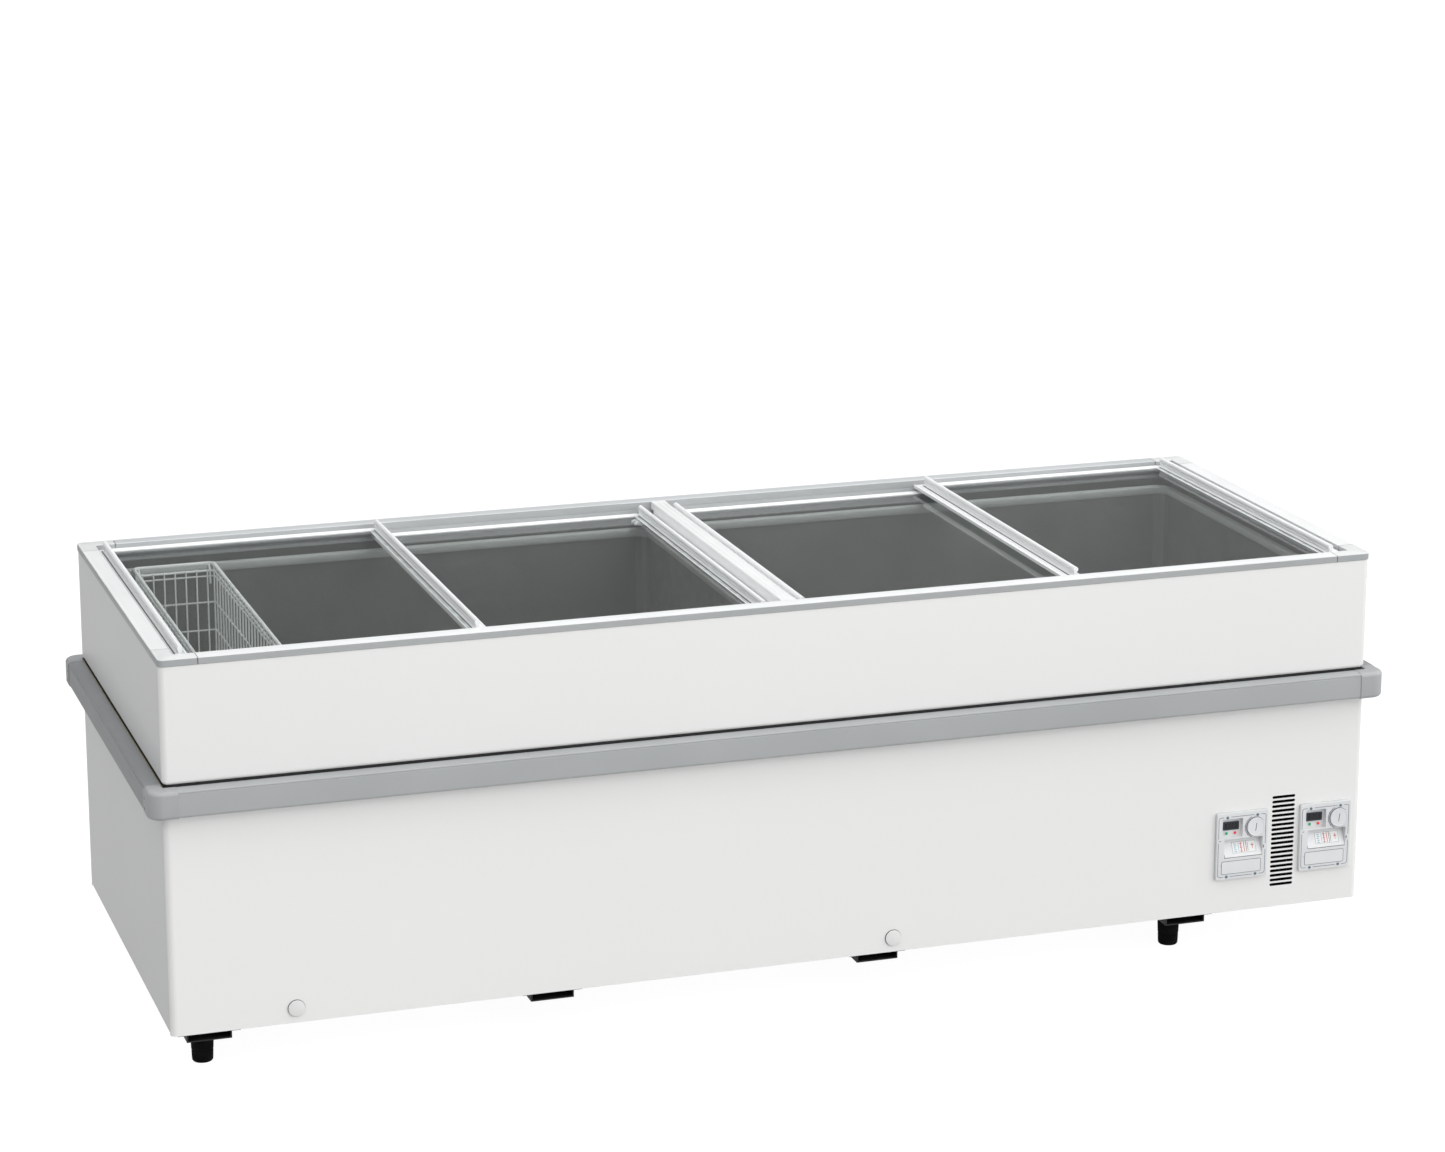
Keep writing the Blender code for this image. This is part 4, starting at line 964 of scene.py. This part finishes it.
def make_control_lines(side, front, at):
    """The thin frame line round the panel, a dark ring round the dial as painted shadow of its gap,
    the scale round the dial, and the blank nameplate inside its own line."""
    low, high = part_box(f"{side}_thermostat_dial")
    middle = ((low.x + high.x) / 2, (low.z + high.z) / 2)
    ink_and_shade = bmesh.new()

    def draw(points, width):
        line = ring_strip(points, width * MM)
        prism(line, "y", front - 0.22 * MM, front + 0.2 * MM, ink_and_shade)

    frame_lines = (
        ((31, 8.2), (83, 8.2)),
        ((99, 8.2), (107, 8.5), (109.4, 9.8), (110.2, 12), (110.2, 73)),
        ((110.2, 86), (110.2, 130), (109.6, 134.5), (107.5, 136.8), (103, 137.3), (97, 137.3)),
        ((82, 137.3), (32, 137.3)),
        ((16, 137.3), (9, 137.3), (6, 136.6), (4.2, 134.5), (3.7, 130), (3.7, 63)),
        ((3.7, 54), (3.7, 13), (4.6, 10), (7, 8.5), (15, 8.2)),
    )
    for line in frame_lines:
        draw([at(*point) for point in line], 0.9)
    # A dark ring round the dial: painted shadow of the gap round it.
    ring = circle(middle, 20.6 * MM, 48)
    draw(ring + [(middle[0] + 20.6 * MM, middle[1])], 0.8)
    draw(arc(middle, 23.2 * MM, 112, 250, 24), 1.1)
    for angle in range(126, 250, 24):
        draw([arc(middle, radius * MM, angle, angle, 1)[0] for radius in (23.2, 25)], 0.7)
    draw([at(4.6, 58.5), at(9, 58.5)], 1.2)
    draw([at(106.5, 76), at(106.5, 82)], 2)
    draw([at(9, 113), at(10, 113)], 1)
    left, foot = at(12, 131.5)
    right, head = at(101, 104)
    loop = rounded(left, right, foot, head, 3 * MM, 5)
    draw(loop + loop[:1], 0.9)
    piece(f"{side}_control_lines", ink_and_shade, INK_AND_SHADE)
    inset = 0.5 * MM
    plate = rounded(left + inset, right - inset, foot + inset, head - inset, 2.6 * MM)
    plaque = prism(plate, "y", front - 0.5 * MM, front + 0.1 * MM)
    piece(f"{side}_nameplate", plaque, PLAQUE, bevel=0.15 * MM)


def make_display(side, floor, at):
    """A smoked display with three unlit digits, and two lamps, on the floor of their pocket."""
    unit = bmesh.new()
    x0, z1 = at(17.6, 21)
    x1, z0 = at(53, 39)
    rim = 3.2 * MM
    outer = rounded(x0, x1, z0, z1, 1.5 * MM)
    prism(outer, "y", floor - 2.2 * MM, floor - 0.1 * MM, unit)
    glass = rounded(x0 + rim, x1 - rim, z0 + rim, z1 - rim, 0.8 * MM)
    prism(glass, "y", floor - 2.5 * MM, floor - 2 * MM, unit, 1)
    piece(f"{side}_display", unit, [DISPLAY_FRAME, DISPLAY], bevel=0.2 * MM)
    digits = bmesh.new()
    z = z0 + 4.8 * MM
    level = mm((0, 4.4, 0, 0.7), (0, 4.4, 3.9, 4.6), (0, 4.4, 7.7, 8.4))
    upright = mm((0, 0.7, 0, 8.4), (3.7, 4.4, 0, 8.4))
    for n in range(3):
        x = x0 + (8.2 + 7 * n) * MM
        for a0, a1, b0, b1 in level + upright:
            bar = rectangle(x + a0, x + a1, z + b0, z + b1)
            prism(bar, "y", floor - 2.56 * MM, floor - 2.4 * MM, digits)
    piece(f"{side}_display_segments", digits, SEGMENT)
    ring = mm((4.4, 0), (4.4, 0.8), (3.4, 1), (3.3, 0.3))
    dome = mm((3.2, 0), (3.2, 1), (2.8, 1.9), (1.6, 2.6), (0, 2.9))
    for colour, mat, across in (("green", GREEN_LED, 25.6), ("red", RED_LED, 45)):
        x, z = at(across, 46)
        seat = (x, floor - 0.1 * MM, z)
        piece(f"{side}_{colour}_lamp_ring", turned(ring, seat, (0, -1, 0), 24), DIAL)
        piece(f"{side}_{colour}_lamp", turned(dome, seat, (0, -1, 0), 24), mat)


def make_thermometer(side, front, left, top):
    """A pale card on the sloping floor of its pocket, with a small window and plain bars. Places
    are across in millimetres, and up the slope as a share of its height."""
    card = bmesh.new()

    def on_slope(across, share, lift):
        y = front + (1 + 19 * share) * MM - lift * MM
        return Vector((left + across * MM, y, top - (98 - 41 * share) * MM))

    def tile(across0, across1, share0, share1, lift, thick, index):
        before = len(card.faces)
        ring = rectangle(across0, across1, share0, share1)
        back = [card.verts.new(on_slope(a, share, lift)) for a, share in ring]
        face = [card.verts.new(on_slope(a, share, lift + thick)) for a, share in ring]
        card.faces.new(back)
        card.faces.new(list(reversed(face)))
        join_rings(card, [back, face])
        paint_new(card, before, index)

    tile(18.6, 104, 0.02, 0.98, 0.1, 1, 0)
    tile(18.6, 104, 0.02, 0.045, 1.1, 0.1, 5)
    tile(18.8, 19.8, 0.03, 0.98, 1.1, 0.1, 5)
    tile(39, 92.5, 0.21, 0.73, 1.1, 0.2, 5)
    tile(39.5, 92, 0.22, 0.72, 1.15, 0.25, 1)
    for n in range(5):
        share = 0.26 + 0.09 * n
        tile(43 + n % 2, 49.5 - n % 3, share, share + 0.035, 1.4, 0.12, 2)
        tile(57 + 1.2 * (n % 2), 62 - n % 2, share, share + 0.04, 1.4, 0.12, 3)
    tile(53.2, 54.2, 0.25, 0.68, 1.4, 0.12, 2)
    tile(59, 60, 0.24, 0.72, 1.4, 0.14, 3)
    tile(65.5, 67, 0.25, 0.7, 1.4, 0.12, 3)
    tile(70.5, 71.6, 0.24, 0.72, 1.4, 0.12, 4)
    tile(74, 75, 0.28, 0.66, 1.4, 0.12, 4)
    tile(82, 88, 0.5, 0.545, 1.4, 0.12, 3)
    tile(84.4, 85.6, 0.36, 0.62, 1.4, 0.12, 3)
    mats = [PLAQUE, PALE_WINDOW, SCALE_BLUE, SCALE_RED, SCALE_BROWN, JOINT_SHADOW]
    piece(f"{side}_thermometer", card, mats)


def make_dial(side, front):
    """A thermostat's disc with a raised rim, its leaning coin slot, and the stem behind it."""
    name = f"{side}_thermostat_dial"
    low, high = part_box(name)
    seat = ((low.x + high.x) / 2, front - 0.3 * MM, (low.z + high.z) / 2)
    out = (0, -1, 0)
    bm = turned(mm((18, 0), (19.9, 0.1), (19.7, 1.4), (18, 1.5)), seat, out, 64)
    paint_new(bm, 0, 1)
    side_wall = mm((18.6, 1), (19.8, 1.4), (19.9, 2.9), (19.2, 3.7))
    face = mm((18.2, 3.9), (17.2, 3.7), (16.8, 3.1), (0, 3.1))
    turned(side_wall + face, seat, out, 64, bm)
    lean = Matrix.Rotation(math.radians(-8), 2)
    slot = []
    for corner_point in rectangle(-0.75, 0.75, -8.5, 8.5):
        across, up = lean @ Vector(corner_point)
        slot.append((seat[0] + across * MM, seat[2] + up * MM))
    prism(slot, "y", front - 3.5 * MM, front - 3.3 * MM, bm, 1)
    stem = mm((0, 0), (4, 0), (4, 16), (3, 18), (0, 18))
    turned(stem, seat, (0, 1, 0), 24, bm)
    body = f"{side}_dial"
    mats = [DIAL, JOINT_SHADOW]
    piece(f"{side}_dial_face", bm, mats, body=body, replaces=[name])


def make_plug(side):
    name = f"{side}_drain_plug"
    low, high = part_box(name)
    centre = ((low.x + high.x) / 2, FRONT, (low.z + high.z) / 2)
    radius = (high.x - low.x) / 2
    out = (0, -1, 0)
    shadow = [(radius + r, h) for r, h in mm((-2, 0.3), (0.9, 0.3), (0.6, 1.1), (-2, 1.2))]
    bm = turned(shadow, centre, out, 48)
    paint_new(bm, 0, 1)
    stem = mm((0, -26), (12, -26), (13.4, -23), (13.4, 1.6))
    edge = mm((-0.1, 1.8), (0, 2.6), (-0.5, 3.5), (-1.6, 3.9))
    cap = stem + [(radius + r, h) for r, h in edge] + mm((0, 3.7))
    turned(cap, centre, out, 48, bm)
    mats = [PLUG, JOINT_SHADOW]
    body = f"{side}_plug"
    piece(f"{side}_drain_cap", bm, mats, body=body, replaces=[name])


# ---- behind the grilles


def make_slot_edges(x0, x1, z0):
    """A matte black lining round each slot of the front grille: painted shade in the slots."""
    bm = bmesh.new()
    for n in range(20):
        z = z0 + 10 * MM * n
        loop = rounded(x0 - 0.1 * MM, x1 + 0.1 * MM, z - 0.1 * MM, z + 5.1 * MM, 2.5 * MM, 4)
        prism(ring_strip(loop + loop[:1], 0.6 * MM), "y", FRONT - 0.1 * MM, FRONT + 1 * MM, bm)
    piece("front_slot_edges", bm, SLOT_SHADE_BLACK)


def make_slot_shade(name, x0, x1, z0, z1, near, far):
    """A pleated matte black sheet close behind a row of slots: painted shade that makes the slots
    read black.
    """
    pleats = 14
    step = (x1 - x0) / pleats
    valley = near + (far - near) * 0.6
    ridge = [(x0 + step * i, near if i % 2 else valley) for i in range(pleats + 1)]
    outline = ridge + [(x1, far), (x0, far)]
    bm = prism(outline, "z", z0, z1)
    for z in (z0, z1 - 5 * MM):
        low, high = sorted((near, far))
        prism(rectangle(x0, x1, low, high), "z", z, z + 5 * MM, bm)
    piece(name, bm, SLOT_SHADE_BLACK)


def make_rear_details():
    """The black sheet behind the rear slots as painted shade, the contact pins of the power inlet,
    and its two screws.
    """
    make_slot_shade("rear_slot_shade", *REAR_GRILLE, REAR - 4 * MM, REAR - 18 * MM)
    low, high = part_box("power_inlet")
    x, z = (low.x + high.x) / 2, (low.z + high.z) / 2
    pins = bmesh.new()
    for across, up in mm((-7, 2), (0, -3), (7, 2)):
        a, b = x + across, z + up
        pin = rectangle(a - 1 * MM, a + 1 * MM, b - 2.5 * MM, b + 2.5 * MM)
        prism(pin, "y", REAR - 17 * MM, REAR - 3 * MM, pins)
    piece("power_inlet_pins", pins, ZINC, bevel=0.4 * MM)
    heads = bmesh.new()
    for side in (-1, 1):
        screw((x + side * 25.5 * MM, high.y - 0.05 * MM, z), (0, 1, 0), 2.6 * MM, heads)
    piece("power_inlet_screws", heads, SCREW_BLUE)


# ---- inside the tubs


LEDGE_Z = 776 * MM
TUB_RADIUS = 25 * MM


def tub_band(section, x0, x1, y1):
    """Sweeps a closed (depth into the tub, z) section round a tub's inner wall. A third number
    squares the corners at that point to this radius."""
    bm = bmesh.new()
    rings = []
    for depth, z, *square in section:
        radius = square[0] if square else TUB_RADIUS - depth
        loop = rounded(x0 + depth, x1 - depth, -y1 + depth, y1 - depth, radius, 6)
        rings.append([bm.verts.new((x, y, z)) for x, y in loop])
    join_rings(bm, rings + rings[:1])
    return bm


def make_liner_details(side):
    """A stepped trim along a tub's ledge, a breaker strip from there to the rim over the foam's
    edge, near-black as painted shade under the rim, and a drain with a slotted grid in the floor."""
    low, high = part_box(f"{side}_liner")
    out = 10.9 * MM
    x0, x1 = low.x + out, high.x - out
    y1 = high.y - out
    top = LEDGE_Z + 0.3 * MM
    upper = mm((-8.4, 0), (-8.4, 3.4), (-6.6, 3), (-1.4, 1.6), (0.8, 0.6))
    lower = mm((1.8, -1.2), (1.9, -13.4), (1.3, -14.6), (0.4, -15), (0.4, 0))
    section = [(depth, top + z) for depth, z in upper + lower]
    piece(f"{side}_tub_ledge_trim", tub_band(section, x0, x1, y1), LEDGE_TRIM)
    lip = RIM_Z - 35 * MM
    under_rim = mm((-8.2, -8), (-8.5, -0.1), (-17, -0.1, 2), (-17, -0.4, 2), (-8.9, -0.4))
    section = [(depth, lip + z, *square) for depth, z, *square in under_rim]
    foot = top + 1 * MM
    section = [(-8.5 * MM, foot), *section, (-8.9 * MM, foot)]
    piece(f"{side}_breaker_strip", tub_band(section, x0, x1, y1), SHADED_BREAKER)
    make_tub_drain(side, x0 + 180 * MM, -y1 + 160 * MM, low.z + 1.5 * MM)


def make_tub_drain(side, x, y, floor):
    up = (0, 0, 1)
    ring = mm((34, 0), (34, 1.2), (30, 2.6), (26, 2.2), (25, 0.4))
    bm = turned(ring, (x, y, floor), up, 40)
    turned(mm((25.5, 0.4), (0, 0.4)), (x, y, floor), up, 40, bm, 1)
    pitch, half_width, radius = 7, 1.6, 25
    for n in range(-3, 4):
        reach = math.sqrt(radius**2 - (n * pitch) ** 2) * MM
        x0, x1 = x + (n * pitch - half_width) * MM, x + (n * pitch + half_width) * MM
        bar = rectangle(x0, x1, y - reach, y + reach)
        prism(bar, "z", floor + 0.5 * MM, floor + 2.2 * MM, bm)
    piece(f"{side}_tub_drain", bm, [PLUG, BLACK_PLASTIC])


# ---- underside


def make_feet():
    bodies = {"front_left": "fl", "front_right": "fr", "rear_left": "rl", "rear_right": "rr"}
    pad = mm((0, 0), (15, 0), (18.6, 0.8), (20.2, 3), (20.6, 6))
    rings = mm((21.2, 22), (20.4, 23), (20.4, 25), (21.6, 26), (22.4, 48), (21.4, 49))
    sleeve = mm((21.4, 51), (22.6, 52), (23.2, 68), (22, 69.5), (9, 69.5), (9, 69.8), (5.6, 69.8))
    for end, body in bodies.items():
        name = f"foot_{end}"
        low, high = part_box(name)
        centre = ((low.x + high.x) / 2, (low.y + high.y) / 2, 0)
        stud = [(5.6 * MM, high.z), (0, high.z)]
        bm = turned(pad + rings + sleeve + stud, centre, (0, 0, 1), 48)
        body = f"foot_{body}"
        piece(f"{name}_moulding", bm, FOOT_BLACK, body=body, replaces=[name])


# ---- stage, lights and camera


def make_floor():
    bm = bmesh.new()
    bmesh.ops.create_grid(bm, x_segments=2, y_segments=2, size=40)
    mesh = bpy.data.meshes.new("floor")
    bm.to_mesh(mesh)
    bm.free()
    shader = Shader("floor_pale", (0.12, 0.12, 0.12), 0.95)
    shader.base.inputs["Specular IOR Level"].default_value = 0
    shader.base.inputs["Emission Color"].default_value = (1, 1, 1, 1)
    glow = shader.add("ShaderNodeMath", operation="MULTIPLY_ADD")
    path = shader.add("ShaderNodeLightPath")
    shader.links.new(path.outputs["Is Camera Ray"], glow.inputs[0])
    glow.inputs[1].default_value = 0.56
    glow.inputs[2].default_value = 0.4
    shader.links.new(glow.outputs["Value"], shader.base.inputs["Emission Strength"])
    mesh.materials.append(shader.mat)
    add_object("floor", mesh)


def area_light(name, place, target, size, power):
    data = bpy.data.lights.new(name, "AREA")
    data.shape = "RECTANGLE"
    data.size, data.size_y = size
    data.energy = power
    light = add_object(name, data)
    light.location = place
    light.rotation_euler = (Vector(target) - Vector(place)).to_track_quat("-Z", "Y").to_euler()


def make_lights():
    world = bpy.data.worlds.new("studio")
    world.use_nodes = True
    nodes = world.node_tree.nodes
    links = world.node_tree.links
    direction = nodes.new("ShaderNodeTexCoord").outputs["Generated"]
    split = nodes.new("ShaderNodeSeparateXYZ")
    links.new(direction, split.inputs["Vector"])

    def fade(axis, start, end, low, high):
        """A smooth change of brightness along one axis of the sky's direction."""
        node = nodes.new("ShaderNodeMapRange")
        node.interpolation_type = "SMOOTHSTEP"
        sockets = ("From Min", "From Max", "To Min", "To Max")
        for socket, value in zip(sockets, (start, end, low, high)):
            node.inputs[socket].default_value = value
        links.new(split.outputs[axis], node.inputs["Value"])
        return node.outputs["Result"]

    def combine(operation, a, b):
        node = nodes.new("ShaderNodeMath")
        node.operation = operation
        for socket, value in zip(node.inputs, (a, b)):
            if isinstance(value, (int, float)):
                socket.default_value = value
            else:
                links.new(value, socket)
        return node.outputs["Value"]

    behind = combine("MULTIPLY", fade("Y", 0.1, 0.55, 0, 0.92), fade("Z", 0.35, 0.75, 1, 0))
    left = combine("MULTIPLY", fade("X", -0.25, 0.5, 0.9, 0), fade("Z", 0.2, 0.62, 1, 0.05))
    shade = combine("MULTIPLY", combine("SUBTRACT", 1, left), combine("SUBTRACT", 1, behind))
    strength = combine("MULTIPLY", shade, fade("Z", 0.2, 0.95, 2.32, 1.0))
    links.new(strength, nodes["Background"].inputs["Strength"])
    nodes["Background"].inputs["Color"].default_value = (1, 1, 1, 1)
    bpy.context.scene.world = world
    area_light("top", (1.0, -0.6, 4.0), (0.2, -0.1, 0.8), (4, 2.4), 42)


def make_camera():
    data = bpy.data.cameras.new("camera")
    data.sensor_width = 36
    data.lens = 96.42
    data.shift_y = -75 / 1445
    camera = add_object("camera", data)
    camera.location = (-2.4367, -7.3212, 2.8325)
    camera.rotation_euler = (math.radians(90 - 13.850), 0, math.radians(-18.444))
    bpy.context.scene.camera = camera


make_bumper()
make_gap_shade()
make_rim()
make_crossbar()
for lid in FIN_AT:
    make_lid(lid)
make_lid_clips("lid_2", FIN_AT["lid_2"][1], 1)
make_lid_clips("lid_3", FIN_AT["lid_3"][0], -1)
make_basket()
for hand in ("left", "right"):
    make_control(hand)
    make_plug(hand)
    make_liner_details(hand)
make_upper_panels()
make_slot_shade("front_slot_shade", *FRONT_GRILLE, FRONT + 4 * MM, FRONT + 18 * MM)
make_slot_edges(*FRONT_SLOTS)
make_rear_details()
make_feet()
make_floor()
make_lights()
make_camera()
bpy.context.scene.view_settings.view_transform = "Standard"
